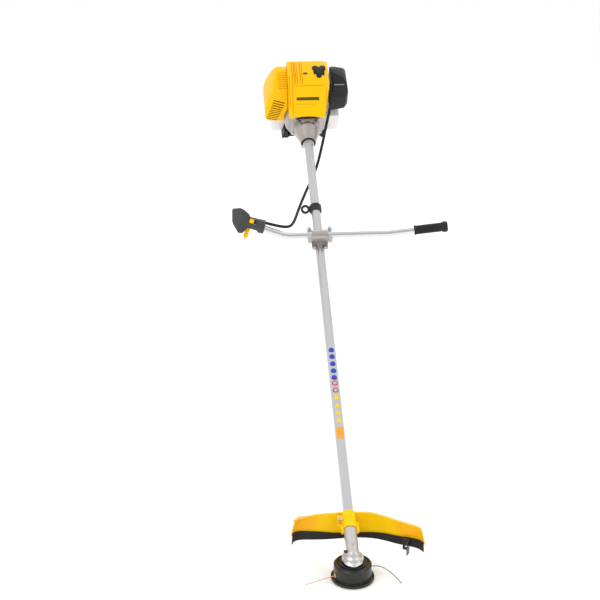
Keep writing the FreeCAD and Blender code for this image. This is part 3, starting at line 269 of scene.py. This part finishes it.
def paintEndShade(finish, look):
    # painted shade: the guard's two ends turn to a deeper orange, standing for the shade on their inward-turned
    # inner faces
    tree = finish.node_tree
    shader = tree.nodes["Principled BSDF"]
    plain = shader.inputs["Base Color"].links[0].from_socket
    axes = tree.nodes.new("ShaderNodeSeparateXYZ")
    tree.links.new(tree.nodes.new("ShaderNodeTexCoord").outputs["Object"], axes.inputs["Vector"])
    centred = mathNode(tree, "ABSOLUTE", mathNode(tree, "SUBTRACT", axes.outputs["X"], look["middle"]))
    slanted = mathNode(tree, "ADD", centred, mathNode(tree, "MULTIPLY", axes.outputs["Z"], look["slant"]))
    ramp = tree.nodes.new("ShaderNodeMapRange")
    ramp.interpolation_type = "SMOOTHSTEP"
    ramp.inputs["From Min"].default_value = look["start"]
    ramp.inputs["From Max"].default_value = look["end"]
    ramp.inputs["To Max"].default_value = look["amount"]
    tree.links.new(slanted, ramp.inputs["Value"])
    shadedEnds = mixColour(tree, ramp.outputs["Result"], plain, look["colour"])
    tree.links.new(shadedEnds, shader.inputs["Base Color"])


# middle to colour place the painted shade on the guard's ends; beadRadius sizes the rim
guardLook = {"middle": 0.02, "slant": 0.4, "start": 0.128, "end": 0.160, "amount": 0.6,
             "colour": (0.95, 0.36, 0.0, 1), "beadRadius": 2.3}
paintEndShade(madeFinishes["guardPlastic"], guardLook)
print("finishes made:", len(madeFinishes))

# ---- finishes of the carried-over parts

nodeFinishes = {
    "silverTube": ["drive_tube"],
    "castAlloy": ["gear_case", "tube_collar", "flywheel", "crankcase", "cylinder", "piston", "carburettor"],
    "paintedAlloy": ["handlebar_clamp_base", "handlebar_clamp_cap", "clutch_case", "fan_housing"],
    "machinedSteel": ["drive_shaft", "pinion_gear", "output_gear", "clutch_drum", "ball_bearings",
                      "clutch_shoes", "crankshaft", "spark_plug", "feed_spring"],
    "zincSteel": ["socket_screws", "throttle_arm"],
    "blackSteel": ["line_cutter", "muffler", "blade_flange"],
    "barChrome": ["handlebar"],
    "guardPlastic": ["guard_shield"],
    "yellowPlastic": ["throttle_trigger", "stop_switch"],
    "headPlastic": ["head_housing", "bump_knob", "hanger_clamp"],
    "blackPlastic": ["shaft_bushes", "spool", "air_filter_base",
                     "choke_lever", "starter_housing", "starter_pulley", "starter_handle", "fuel_cap",
                     "engine_stand"],
    "greyPlastic": ["throttle_housing_front", "throttle_housing_rear", "lockout_lever"],
    "blackRubber": ["guard_apron", "vibration_ring", "spark_plug_cap"],
    "whiteTank": ["fuel_tank"],
    "turnedBrass": ["line_eyelets"],
    "paleNylon": ["wound_line", "primer_bulb"],
}
for name, members in nodeFinishes.items():
    for member in members:
        mesh = nodes[member].data
        mesh.materials.clear()
        mesh.materials.append(madeFinishes[name])


# ---- modelling helpers


def addPiece(name, bm, finish, body, space=None, stands=(), crease=35):
    if space is not None:
        bmesh.ops.transform(bm, matrix=space, verts=bm.verts)
    bmesh.ops.remove_doubles(bm, verts=bm.verts, dist=1e-6)
    bmesh.ops.recalc_face_normals(bm, faces=bm.faces)
    mesh = bpy.data.meshes.new(name)
    bm.to_mesh(mesh)
    bm.free()
    mesh.shade_smooth()
    mesh.set_sharp_from_angle(angle=math.radians(crease))
    mesh.materials.append(madeFinishes[finish])
    piece = bpy.data.objects.new(name, mesh)
    bpy.context.scene.collection.objects.link(piece)
    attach(piece, body)
    if stands:
        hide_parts(*stands)
    return piece


def blockMesh(bm, low, high, bevel=0.0, turn=None):
    # a box between two corners, with rounded edges, added to a bmesh
    low, high = Vector(low), Vector(high)
    made = bmesh.ops.create_cube(bm, size=1.0)
    verts = made["verts"]
    span = high - low
    bmesh.ops.scale(bm, vec=span, verts=verts)
    if bevel:
        edges = list({edge for vert in verts for edge in vert.link_edges})
        before = set(bm.verts) - set(verts)
        bmesh.ops.bevel(bm, geom=edges, offset=bevel, segments=3, affect="EDGES", profile=0.5, material=-1)
        verts = [vert for vert in bm.verts if vert not in before]
    if turn is not None:
        bmesh.ops.transform(bm, matrix=turn, verts=verts)
    bmesh.ops.translate(bm, vec=(low + high) / 2, verts=verts)
    return verts


def spinProfile(bm, points, steps=64, axis=(0, 1, 0)):
    # a closed outline of (radius, along) turned a full circle about Y, or about Z
    if axis[1]:
        verts = [bm.verts.new((radius, along, 0)) for radius, along in points]
    else:
        verts = [bm.verts.new((radius, 0, along)) for radius, along in points]
    edges = [bm.edges.new((a, b)) for a, b in zip(verts, verts[1:] + verts[:1])]
    bmesh.ops.spin(bm, geom=verts + edges, cent=(0, 0, 0), axis=axis, angle=math.tau, steps=steps,
                   use_merge=True, use_duplicate=False)
    bmesh.ops.remove_doubles(bm, verts=bm.verts, dist=1e-4)


def carved(piece, cutters, operation="DIFFERENCE"):
    # applies boolean modifiers at once and drops the cutters
    for cutter in cutters:
        change = piece.modifiers.new("carve", "BOOLEAN")
        change.operation = operation
        change.solver = "EXACT"
        change.object = cutter
    bpy.context.view_layer.update()
    ready = piece.evaluated_get(bpy.context.evaluated_depsgraph_get())
    mesh = bpy.data.meshes.new_from_object(ready)
    piece.modifiers.clear()
    piece.data = mesh
    for cutter in cutters:
        bpy.data.objects.remove(cutter)
    mesh.shade_smooth()
    mesh.set_sharp_from_angle(angle=math.radians(35))
    return piece


def looseObject(name, bm, space):
    bmesh.ops.transform(bm, matrix=space, verts=bm.verts)
    bmesh.ops.recalc_face_normals(bm, faces=bm.faces)
    mesh = bpy.data.meshes.new(name)
    bm.to_mesh(mesh)
    bm.free()
    made = bpy.data.objects.new(name, mesh)
    bpy.context.scene.collection.objects.link(made)
    return made


# ---- moulded covers

engineStart = 1490
quarterTurn = Matrix.Rotation(math.pi / 2, 4, "X")


def coverBlock(look, drawIn, corner):
    # a block trimmed by three outlines: seen from the side, along the tube and from above
    bm = bmesh.new()
    bmesh.ops.create_cube(bm, size=1200, matrix=Matrix.Translation((0, engineStart, 0)))
    outlines = [(look["side"], lambda a, b: Vector((0, engineStart + a, b))),
                (look["front"], lambda a, b: Vector((a, 0, b))),
                (look["plan"], lambda a, b: Vector((a, engineStart + b, 0)))]
    for points, lift in outlines:
        middle = lift(sum(p[0] for p in points) / len(points), sum(p[1] for p in points) / len(points))
        across = (lift(1, 0) - lift(0, 0)).cross(lift(0, 1) - lift(0, 0))
        for (a, b), (c, d) in zip(points, points[1:] + points[:1]):
            start, end = lift(a, b), lift(c, d)
            away = (end - start).cross(across).normalized()
            if away.dot(start - middle) < 0:
                away.negate()
            bmesh.ops.bisect_plane(bm, geom=list(bm.verts) + list(bm.edges) + list(bm.faces), dist=1e-4,
                                   plane_co=start - away * drawIn, plane_no=away, clear_outer=True)
            rim = [edge for edge in bm.edges if edge.is_boundary]
            if rim:
                bmesh.ops.edgeloop_fill(bm, edges=rim)
    bmesh.ops.dissolve_degenerate(bm, dist=0.05, edges=bm.edges)
    bmesh.ops.recalc_face_normals(bm, faces=bm.faces)
    bmesh.ops.bevel(bm, geom=list(bm.edges), offset=corner, segments=4, affect="EDGES", profile=0.5,
                    material=-1, clamp_overlap=True)
    return bm


def makeCover(name, look, finish, cutBoxes, cutRods=(), slots=()):
    outside = coverBlock(look, 0.0, look["corner"])
    cover = addPiece(name, outside, finish, "frame", toolSpace, [name.replace("Look", "")])
    cutters = [looseObject("hollow", coverBlock(look, look["wall"], look["corner"] * 0.6), toolSpace)]
    for low, high in cutBoxes:
        bm = bmesh.new()
        blockMesh(bm, low, high)
        cutters.append(looseObject("opening", bm, toolSpace))
    for radius, near, far, height in cutRods:
        bm = bmesh.new()
        place = Matrix.Translation((0, (near + far) / 2, height)) @ quarterTurn
        bmesh.ops.create_cone(bm, cap_ends=True, segments=96, radius1=radius, radius2=radius,
                              depth=far - near, matrix=place)
        cutters.append(looseObject("fanRoom", bm, toolSpace))
    for centre, span, turn in slots:
        bm = bmesh.new()
        half = Vector(span) / 2
        blockMesh(bm, Vector(centre) - half, Vector(centre) + half, min(span) * 0.3, turn)
        cutters.append(looseObject("slot", bm, toolSpace))
    return carved(cover, cutters)


topCoverLook = {
    "side": [(52, 56), (57, 66), (139, 130), (168, 138), (238, 138), (250, 126), (250, 36), (110, 36)],
    "front": [(-59, 36), (-60, 132), (-54, 138.5), (44, 138.5), (74, 124), (76, 96), (73, 70), (62, 36)],
    "plan": [(-60, 50), (53, 50), (73, 138), (77, 175), (77, 260), (-60, 260)],
    "wall": 2.5,
    "corner": 5.0,
}
makeCover("top_coverLook", topCoverLook, "yellowPlastic",
          [((-70, 1650, 34), (-48, 1708, 98)), ((50, 1614, 30), (80, 1718, 114)),
           ((-52, 1540, 10), (60, 1737, 40)), ((24, 1664, 120), (60, 1696, 150)),
           ((-80, 1520, 0), (80, 1582.5, 58))],
          [(71.2, 1582, 1770, 0), (264, 1520, 1582.5, -200)])

mufflerCoverLook = {
    "side": [(118, -12), (118, 36), (146, 92), (212, 126), (232, 122), (240, 100), (240, -12)],
    "front": [(-60.8, 127), (-94, 120), (-106, 101), (-125, 62), (-134, 30), (-133, 2), (-122, -10),
              (-60.8, -12)],
    "plan": [(-140, 128), (-126, 116), (-60.8, 116), (-60.8, 244), (-126, 244), (-140, 230)],
    "wall": 2.5,
    "corner": 4.5,
}
louvres = [((-88 - 2.6 * i, 1626, 60 - 7 * i), (38, 60, 3.6), Matrix.Rotation(math.radians(14), 4, "Y"))
           for i in range(10)]
makeCover("muffler_coverLook", mufflerCoverLook, "yellowPlastic",
          [((-68, 1650, 34), (-58, 1708, 98))], [(71.2, 1480, 1640, 0), (63.5, 1700, 1760, 0)], louvres)

filterCoverLook = {
    "side": [(150, 2), (150, 60), (164, 100), (206, 121), (232, 118), (236, 90), (236, 2)],
    "front": [(85, 120), (125, 110), (133, 101), (139, 74), (139, 22), (127, 10), (85, 0)],
    "plan": [(85, 150), (130, 150), (140, 160), (140, 230), (132, 240), (85, 240)],
    "wall": 2.5,
    "corner": 5.0,
}
makeCover("air_filter_coverLook", filterCoverLook, "blackPlastic",
          [((80, 1645, 6), (88.5, 1722, 112))])

coverDetailLook = {
    "ribs": [-43, -33, -17], "ribWidth": 3.2, "ribHeight": 1.2,
    "capOutline": [(20, 1688), (22, 1700), (34, 1702), (42, 1695), (50, 1702), (62, 1701), (65, 1690),
                   (54, 1674), (50, 1656), (44, 1648), (34, 1650), (30, 1672)],
    "ovalAt": (-3, 1668), "ovalSize": (8, 5), "badge": (-35, 38, 50, 60), "lineRise": 37,
}
frontSlope = math.atan2(64, 82)
slopePlace = Matrix.Translation((0, 1547, 66)) @ Matrix.Rotation(frontSlope, 4, "X")
crownPlace = Matrix.Translation((0, 1629, 130)) @ Matrix.Rotation(math.atan2(8, 29), 4, "X")


def addBlocks(name, finish, blocks, corner, place=None):
    # rounded bars that all share one finish
    bm = bmesh.new()
    for low, high in blocks:
        blockMesh(bm, low, high, corner)
    if place is not None:
        bmesh.ops.transform(bm, matrix=place, verts=bm.verts)
    addPiece(name, bm, finish, "frame", toolSpace)


def addPlate(name, finish, outline, low, high, corner):
    # a flat plate with rounded edges, drawn as an outline and given a thickness
    bm = bmesh.new()
    face = bm.faces.new([bm.verts.new((x, y, low)) for x, y in outline])
    made = bmesh.ops.extrude_face_region(bm, geom=[face])
    lifted = [part for part in made["geom"] if isinstance(part, bmesh.types.BMVert)]
    bmesh.ops.translate(bm, vec=(0, 0, high - low), verts=lifted)
    bmesh.ops.recalc_face_normals(bm, faces=bm.faces)
    bmesh.ops.bevel(bm, geom=list(bm.edges), offset=corner, segments=3, affect="EDGES", profile=0.5,
                    material=-1, clamp_overlap=True)
    addPiece(name, bm, finish, "frame", toolSpace)


def makeCoverDetails(look):
    rib, tall = look["ribWidth"] / 2, look["ribHeight"]
    crown = [((x - rib, 1, -1), (x + rib, 31, tall)) for x in look["ribs"]]
    addBlocks("crownRibsLow", "yellowPlastic", crown, 0.5, crownPlace)
    top = [((x - rib, 1657, 137), (x + rib, 1722, 138.5 + tall)) for x in look["ribs"]]
    addBlocks("crownRibsHigh", "yellowPlastic", top, 0.5)
    band = [((-54, 8, -1), (-49, 102, 1.0)), ((-40, 98, -1), (52, 102.5, 1.2))]
    addBlocks("frontBands", "yellowPlastic", band, 0.5, slopePlace)
    left, right, low, high = look["badge"]
    badge = [((left, low, -0.6), (right, high, 0.9))]
    addBlocks("frontBadge", "badgeBronze", badge, 0.7, slopePlace)
    # painted shade: deep orange strips along the front's creases and beside its bands
    rise = look["lineRise"]
    creaseShadeBars = [((-36, rise, -0.6), (26, rise + 1.4, 0.25)), ((-47.5, 8, -0.6), (-45.7, 104, 0.25)),
               ((-57.5, 30, -0.6), (-55.6, 104, 0.25)), ((-40, 96.2, -0.6), (52, 97.8, 0.25)),
               ((61, 20, -0.6), (62.4, 92, 0.25))]
    addBlocks("frontCreaseShade", "creaseShadeOrange", creaseShadeBars, 0.2, slopePlace)
    # painted shade: deep orange strips either side of each rib, on the crown and on the top
    ribSides = [x + side for x in look["ribs"] for side in (-3, 3)]
    crownCreaseShade = [((x - 0.8, 0, -0.6), (x + 0.8, 31, 0.35)) for x in ribSides]
    crownCreaseShade.append(((-57.5, 0, -0.6), (-55.6, 31, 0.25)))
    addBlocks("crownCreaseShade", "creaseShadeOrange", crownCreaseShade, 0.2, crownPlace)
    topCreaseShade = [((x - 0.8, 1657, 137), (x + 0.8, 1722, 138.8)) for x in ribSides]
    addBlocks("topCreaseShade", "creaseShadeOrange", topCreaseShade, 0.2)
    addPlate("plugCapTop", "blackRubber", look["capOutline"], 131, 143, 3.0)
    x, along = look["ovalAt"]
    wide, deep = look["ovalSize"]
    oval = [(x + wide * math.cos(turn * math.tau / 20), along + deep * math.sin(turn * math.tau / 20))
            for turn in range(20)]
    addPlate("coverScrewCup", "badgeBronze", oval, 137.6, 138.9, 0.3)
    ridge = Matrix.Translation((0, 1636, 92)) @ Matrix.Rotation(math.atan2(34, 66), 4, "X")
    bars = [((-92, 6 + 7.6 * i, -1), (-63, 8.4 + 7.6 * i, 0.9)) for i in range(8)]
    addBlocks("mufflerRidges", "yellowPlastic", bars, 0.4, ridge)
    # painted shade: deep orange strips between the muffler ridges
    grooveShadeBars = [((-92, 8.9 + 7.6 * i, -1), (-63, 10.3 + 7.6 * i, 0.3)) for i in range(8)]
    addBlocks("mufflerGrooveShade", "creaseShadeOrange", grooveShadeBars, 0.2, ridge)
    # painted highlight: a pale alloy-coloured bar on the black filter cover's seam paints the highlight line
    # along that edge
    seamHighlightPlace = Matrix.Translation((0, 1654, 100)) @ Matrix.Rotation(math.atan2(21, 42), 4, "X")
    addBlocks("filterSeamHighlight", "paintedAlloy", [((92, -1.2, -1), (125, 1.2, 0.9))], 0.4, seamHighlightPlace)


makeCoverDetails(coverDetailLook)
print("covers carved")

# ---- cords

cableRoute = [(60, 1660, 86), (74, 1632, 94), (80, 1600, 84), (71, 1570, 60), (59, 1535, 28), (46, 1493, -8),
              (31, 1443, -32), (12, 1388, -41), (-12, 1332, -39), (-33, 1272, -28), (-50, 1216, -12),
              (-64, 1165, 3), (-75, 1128, 18), (-87, 1101, 34), (-105, 1085, 49)]
cablePoints = [toolSpace @ Vector(point) for point in cableRoute]
cablePoints += [gripSpace @ Vector((-22, 0, 11.5)), gripSpace @ Vector((7, 0, 11.5))]


def addCord(name, points, radius, finish, body, stands, slotName, **facts):
    curve = bpy.data.curves.new(name, "CURVE")
    curve.dimensions = "3D"
    curve.bevel_depth = radius
    curve.bevel_resolution = 6
    curve.resolution_u = 12
    curve.use_fill_caps = True
    spline = curve.splines.new("NURBS")
    spline.points.add(len(points) - 1)
    for target, point in zip(spline.points, points):
        target.co = (*point, 1)
    spline.order_u = 3
    spline.use_endpoint_u = True
    curve.materials.append(madeFinishes[finish])
    piece = bpy.data.objects.new(name, curve)
    bpy.context.scene.collection.objects.link(piece)
    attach(piece, body)
    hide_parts(stands)
    return piece


addCord("throttleConduit", cablePoints, 0.0045, "blackRubber", "frame", "throttle_cable", "rubber",
        length=0.7291, far_end="object", stiffness="medium", lay="hanging")
leftLine = [(-45, -17.3, 21), (-66, -25, 20.2), (-95, -32.5, 16.5), (-125, -34.5, 8.5)]
rightLine = [(45, 17.3, 21), (64, 24, 20.5), (86, 14, 17.5), (106, -12, 11.5), (121, -40, 4)]
addCord("leftLine", [Vector(point) / 1000 for point in leftLine], 0.0012, "lineNylon", "head", "line_tails",
        "line_nylon", length=0.0835, far_end="bare", stiffness="stiff", lay="loose")
addCord("rightLine", [Vector(point) / 1000 for point in rightLine], 0.0012, "greyNylon", "head", "line_tails",
        "line_nylon", length=0.1091, far_end="bare", stiffness="stiff", lay="loose")
print("cords laid")

# ---- rubber grip at the bar's free end

plainGripLook = {"length": 98, "ribs": 16, "ribPitch": 4.2, "ribDepth": 0.9, "waist": 13.6}


def makePlainGrip(look):
    near, waist = -look["length"], look["waist"]
    outline = [(0, 0.1), (11.02, 0.1), (11.02, near), (13.8, near), (15.2, near + 1.2), (15.2, near + 3.6),
               (waist, near + 5.5)]
    for i in range(look["ribs"]):
        start = near + 8 + i * look["ribPitch"]
        outline += [(waist + 0.4, start), (waist + 0.4 - look["ribDepth"], start + 0.7),
                    (waist + 0.4 - look["ribDepth"], start + 1.7), (waist + 0.4, start + 2.4)]
    outline += [(waist, -19), (13.2, -16), (15.4, -12), (16.5, -7), (16.5, -2), (15.6, 1.4), (13, 3.4), (8, 4),
                (0, 4)]
    bm = bmesh.new()
    spinProfile(bm, outline, 64)
    along = Vector((171, 0, 24)).normalized()
    turn = Vector((0, 1, 0)).rotation_difference(along).to_matrix().to_4x4()
    place = toolFrame @ millimetres @ Matrix.Translation((383, 1062, 59)) @ turn
    addPiece("plainGripRubber", bm, "blackRubber", "frame", place, ["plain_grip"])


makePlainGrip(plainGripLook)

# ---- starter rope, which stretches from the housing to its grip

ropeLook = {"radius": 1.7, "strands": 3}


def makeStarterRope(look):
    bm = bmesh.new()
    radius = look["radius"]
    place = Matrix.Translation((-60.3, 1743, 20)) @ Matrix.Rotation(math.pi / 2, 4, "Y")
    bmesh.ops.create_cone(bm, cap_ends=True, segments=24, radius1=radius, radius2=radius, depth=8.6,
                          matrix=place)
    ends = [edge for edge in bm.edges if abs(edge.verts[0].co.x - edge.verts[1].co.x) > 1]
    bmesh.ops.subdivide_edges(bm, edges=ends, cuts=12)
    for vert in bm.verts:
        turn = math.atan2(vert.co.z - 20, vert.co.y - 1743)
        depth = 1 - 0.08 * abs(math.sin(look["strands"] * turn + vert.co.x * 1.6))
        vert.co.y = 1743 + (vert.co.y - 1743) * depth
        vert.co.z = 20 + (vert.co.z - 20) * depth
    rope = addPiece("starterRopeBraid", bm, "whiteInk", "frame", toolSpace, ["starter_rope"])
    rope.parent = None
    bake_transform(rope)


makeStarterRope(ropeLook)

# ---- filter foam

foamLook = {"low": (88.9, 1652, 14), "high": (110, 1718, 78), "corner": 5.0}


def makeFoam(look):
    bm = bmesh.new()
    blockMesh(bm, look["low"], look["high"], look["corner"])
    bmesh.ops.subdivide_edges(bm, edges=bm.edges, cuts=3, use_grid_fill=True)
    foam = addPiece("filterFoam", bm, "greyFoam", "frame", toolSpace, ["filter_element"])


makeFoam(foamLook)
print("rubber and foam made")

# ---- plain marks on the tube, all on its upper side

tubeMarkLook = {
    "discs": [644.0, 620.6, 595.6, 571.2, 548.0], "discRadius": 8.5,
    "rings": [528.8, 504.9], "ringRadii": (8.8, 5.2),
    "triangles": [479.5, 452.3, 428.3, 403.2], "triangleRadius": 11,
    "panel": (344.0, 382.6, 11.0),
    "radius": 14.03, "thickness": 0.16,
}


def regular(sides, radius, along, start=0.0):
    turns = [start + math.tau * i / sides for i in range(sides)]
    return [(radius * math.sin(turn), along + radius * math.cos(turn)) for turn in turns]


def wrapMark(bm, look):
    # a flat sheet drawn in X and Y is thickened and wrapped round the tube
    made = bmesh.ops.extrude_face_region(bm, geom=list(bm.faces))
    for part in made["geom"]:
        if isinstance(part, bmesh.types.BMVert):
            part.co.z = look["thickness"]
    for vert in bm.verts:
        turn = vert.co.x / look["radius"]
        radius = look["radius"] + vert.co.z
        vert.co = (radius * math.sin(turn), vert.co.y, radius * math.cos(turn))


def addMark(name, finish, outlines, look, inner=None):
    bm = bmesh.new()
    for number, outline in enumerate(outlines):
        verts = [bm.verts.new((x, y, 0)) for x, y in outline]
        if inner:
            hole = [bm.verts.new((x, y, 0)) for x, y in inner[number]]
            for i, vert in enumerate(verts):
                bm.faces.new((vert, verts[i - 1], hole[i - 1], hole[i]))
        else:
            low, high = min(y for x, y in outline), max(y for x, y in outline)
            hub = bm.verts.new((0, (low + high) / 2, 0))
            for i, vert in enumerate(verts):
                bm.faces.new((vert, verts[i - 1], hub))
    bmesh.ops.subdivide_edges(bm, edges=bm.edges, cuts=3, use_grid_fill=True)
    wrapMark(bm, look)
    addPiece(name, bm, finish, "frame", toolSpace)


def makeTubeMarks(look):
    addMark("tubeDiscs", "blueInk", [regular(32, look["discRadius"], t) for t in look["discs"]], look)
    outer, inner = look["ringRadii"]
    addMark("tubeRings", "redInk", [regular(32, outer, t) for t in look["rings"]], look,
            [regular(32, inner, t) for t in look["rings"]])
    triangles = [regular(3, look["triangleRadius"], t) for t in look["triangles"]]
    addMark("tubeTriangles", "yellowInk", triangles, look)
    low, high, half = look["panel"]
    addMark("tubePanel", "orangeInk", [[(-half, low), (half, low), (half, high), (-half, high)]], look)


makeTubeMarks(tubeMarkLook)

# ---- guard rim and gear case details

# plan points along the guard's upper edge: x, y and height
guardPlan = [(-150, 104, 112), (-143, 117, 116), (-95, 120, 126), (-29, 113, 134), (46, 110, 134),
             (86, 97, 131), (134, 68, 127), (180, 40, 123), (189, 24, 119)]
gearLook = {"bossAt": 29, "bossRadius": 6.5, "tip": 5.5, "dip": 3.6,
            "skirt": [(18, 72, 0.0), (23, 66, 0.2), (26, 60, 0.8), (28, 57, 1.0), (27, 55, 1.0), (18, 56, 0.6)]}


def makeGearDetails(look):
    # a boss on the neck, two bolts on the clutch case, the grease plug, and the lobed skirt over the head
    bm = bmesh.new()
    boss = [(0, 0), (look["bossRadius"], 0), (look["bossRadius"], 2.2), (look["bossRadius"] - 1, 3), (0, 3)]
    spinProfile(bm, boss, 32, (0, 0, 1))
    addPiece("gearBoss", bm, "castAlloy", "frame", toolSpace @ Matrix.Translation((0, look["bossAt"], 14.8)))
    for x in (-26, 26):
        bolt = bmesh.new()
        spinProfile(bolt, [(0, 0), (4.0, 0), (4.0, -3.2), (3.2, -4), (2, -4), (2, -2.2), (0, -2.2)], 24)
        bmesh.ops.translate(bolt, vec=(x, 1551, 42), verts=bolt.verts)
        addPiece("caseBolt%d" % (x > 0), bolt, "blackSteel", "frame", toolSpace)
    bm = bmesh.new()
    plug = [(0, 0), (4.2, 0), (4.2, 7), (3.4, 8), (1.8, 8), (1.8, 6.5), (0, 6.5)]
    spinProfile(bm, plug, 6, (0, 0, 1))
    turn = Matrix.Rotation(-math.pi / 2, 4, "Y")
    addPiece("greasePlug", bm, "blackSteel", "frame", worldSpace @ Matrix.Translation((-15.5, 0, 80)) @ turn)
    bm = bmesh.new()
    rings = []
    for radius, rise, pull in look["skirt"]:
        ring = []
        for i in range(72):
            turn = math.tau * i / 72
            front = max(0.0, -math.sin(turn)) ** 3
            lobe = 0.6 * math.cos(8 * turn) * pull
            reach = radius + look["tip"] * front * pull + lobe
            height = rise - look["dip"] * front * pull
            ring.append(bm.verts.new((reach * math.cos(turn), reach * math.sin(turn), height)))
        rings.append(ring)
    for upper, lower in zip(rings, rings[1:] + rings[:1]):
        for i in range(72):
            bm.faces.new((upper[i - 1], upper[i], lower[i], lower[i - 1]))
    addPiece("gearSkirt", bm, "castAlloy", "frame", worldSpace)


makeGearDetails(gearLook)


def makeHeadSlotShade(look):
    # painted shade: a dark block low on the head's wall stands for the shade inside a drain slot
    bm = bmesh.new()
    blockMesh(bm, look["low"], look["high"], 0.6)
    bmesh.ops.transform(bm, matrix=Matrix.Rotation(look["turn"], 4, "Z"), verts=bm.verts)
    addPiece("headSlotShade", bm, "blackRubber", "head", worldSpace)


makeHeadSlotShade({"low": (-3.5, -49.5, 11), "high": (3.5, -47.5, 17), "turn": math.radians(30)})


def makeHeadRing(look):
    # a raised ring on the head's top face
    bm = bmesh.new()
    inner, outer, low, high = look["inner"], look["outer"], look["low"], look["high"]
    shoulder = high - 0.8
    spinProfile(bm, [(inner, low), (outer, low), (outer, shoulder), (outer - 0.8, high), (inner + 0.8, high),
                     (inner, shoulder)], 96, (0, 0, 1))
    addPiece("headRing", bm, "headPlastic", "head", worldSpace)


makeHeadRing({"inner": 41.5, "outer": 45.5, "low": 43, "high": 47.2})
# painted shade: an orange strip for the shaded recess beside the guard's bolt
addBlocks("guardPocketShade", "creaseShadeOrange", [((-30, 87, 4), (-19, 92.5, 6.8))], 0.6)


def smoothPath(points, steps=10):
    # a soft curve through every point
    path = []
    ends = [2 * points[0] - points[1]] + points + [2 * points[-1] - points[-2]]
    for a, b, c, d in zip(ends, ends[1:], ends[2:], ends[3:]):
        for i in range(steps):
            u = i / steps
            path.append(0.5 * (2 * b + (c - a) * u + (2 * a - 5 * b + 4 * c - d) * u * u
                               + (3 * b - a - 3 * c + d) * u ** 3))
    return path + [points[-1]]


def makeGuardBead(look):
    # a rolled rim along the shield's upper edge, in a paler yellow that paints the highlight on its lit top
    inward = []
    for i, (x, y, top) in enumerate(guardPlan):
        before, after = guardPlan[max(i - 1, 0)], guardPlan[min(i + 1, len(guardPlan) - 1)]
        along = Vector((after[0] - before[0], after[1] - before[1], 0)).normalized()
        inward.append(Vector((x, y, top)) - Vector((-along.y, along.x, 0)) * 10.5)
    path = smoothPath(inward)
    turns = [math.tau * k / 12 for k in range(12)]
    bm = bmesh.new()
    rings = []
    for i, point in enumerate(path):
        along = (path[min(i + 1, len(path) - 1)] - path[max(i - 1, 0)]).normalized()
        side = along.cross(Vector((0, 0, 1))).normalized()
        up = side.cross(along)
        spokes = [side * math.cos(turn) + up * math.sin(turn) for turn in turns]
        rings.append([bm.verts.new(point + spoke * look["beadRadius"]) for spoke in spokes])
    for ring, after in zip(rings, rings[1:]):
        for k in range(12):
            bm.faces.new((ring[k - 1], ring[k], after[k], after[k - 1]))
    bm.faces.new(rings[0])
    bm.faces.new(rings[-1])
    addPiece("guardBead", bm, "rimHighlightYellow", "frame", worldSpace)


makeGuardBead(guardLook)
print("marks and small castings made")

# ---- floor, light and camera

floorLook = {"colour": (0.97, 0.97, 0.97, 1), "roughness": 0.8, "half": 60.0, "glow": 0.10}


def makeFloor(look):
    bm = bmesh.new()
    bmesh.ops.create_grid(bm, x_segments=1, y_segments=1, size=look["half"])
    mesh = bpy.data.meshes.new("studioFloor")
    bm.to_mesh(mesh)
    bm.free()
    floor = bpy.data.objects.new("studioFloor", mesh)
    bpy.context.scene.collection.objects.link(floor)
    finish = bpy.data.materials.new("floorPaint")
    finish.use_nodes = True
    shader = finish.node_tree.nodes["Principled BSDF"]
    shader.inputs["Base Color"].default_value = look["colour"]
    shader.inputs["Roughness"].default_value = look["roughness"]
    shader.inputs["Specular IOR Level"].default_value = 0.1
    shader.inputs["Emission Color"].default_value = (1, 1, 1, 1)
    shader.inputs["Emission Strength"].default_value = look["glow"]
    mesh.materials.append(finish)


makeFloor(floorLook)

lampLook = [
    # place, aimed at, power, width, height
    ((-2.6, -2.4, 3.6), (0, 0.7, 0.5), 62, 2.2, 2.2),
    ((2.8, -1.6, 2.6), (0, 0.7, 0.4), 26, 2.0, 2.6),
    ((0.3, 3.8, 3.0), (0, 0.8, 0.6), 40, 3.0, 1.6),
]
for number, (place, target, power, width, height) in enumerate(lampLook):
    lamp = bpy.data.lights.new("softBox%d" % number, "AREA")
    lamp.shape = "RECTANGLE"
    lamp.size, lamp.size_y, lamp.energy = width, height, power
    holder = bpy.data.objects.new("softBox%d" % number, lamp)
    bpy.context.scene.collection.objects.link(holder)
    aim = (Vector(target) - Vector(place)).to_track_quat("-Z", "Y").to_matrix().to_4x4()
    holder.matrix_world = Matrix.Translation(place) @ aim

world = bpy.data.worlds.new("paleRoom")
world.use_nodes = True
sky = world.node_tree
heading = sky.nodes.new("ShaderNodeSeparateXYZ")
sky.links.new(sky.nodes.new("ShaderNodeTexCoord").outputs["Generated"], heading.inputs["Vector"])
fade = sky.nodes.new("ShaderNodeMapRange")
fade.interpolation_type = "SMOOTHSTEP"
for label, value in (("From Min", -0.95), ("From Max", -0.25), ("To Min", 0.58), ("To Max", 0.97)):
    fade.inputs[label].default_value = value
sky.links.new(heading.outputs["Y"], fade.inputs["Value"])
sky.links.new(fade.outputs["Result"], sky.nodes["Background"].inputs["Strength"])
sky.nodes["Background"].inputs["Color"].default_value = (1, 1, 1, 1)
bpy.context.scene.world = world
bpy.context.scene.view_settings.view_transform = "Standard"

cameraLook = {"place": (-0.39478, -3.08724, 1.96084), "forward": (0.0781, 0.9303, -0.3584), "lens": 84}
eye = bpy.data.cameras.new("camera")
eye.lens, eye.sensor_width = cameraLook["lens"], 36
eye.clip_end = 60
viewer = bpy.data.objects.new("camera", eye)
bpy.context.scene.collection.objects.link(viewer)
viewer.matrix_world = (Matrix.Translation(cameraLook["place"])
                       @ Vector(cameraLook["forward"]).to_track_quat("-Z", "Y").to_matrix().to_4x4())
bpy.context.scene.camera = viewer
print("floor, light and camera set")
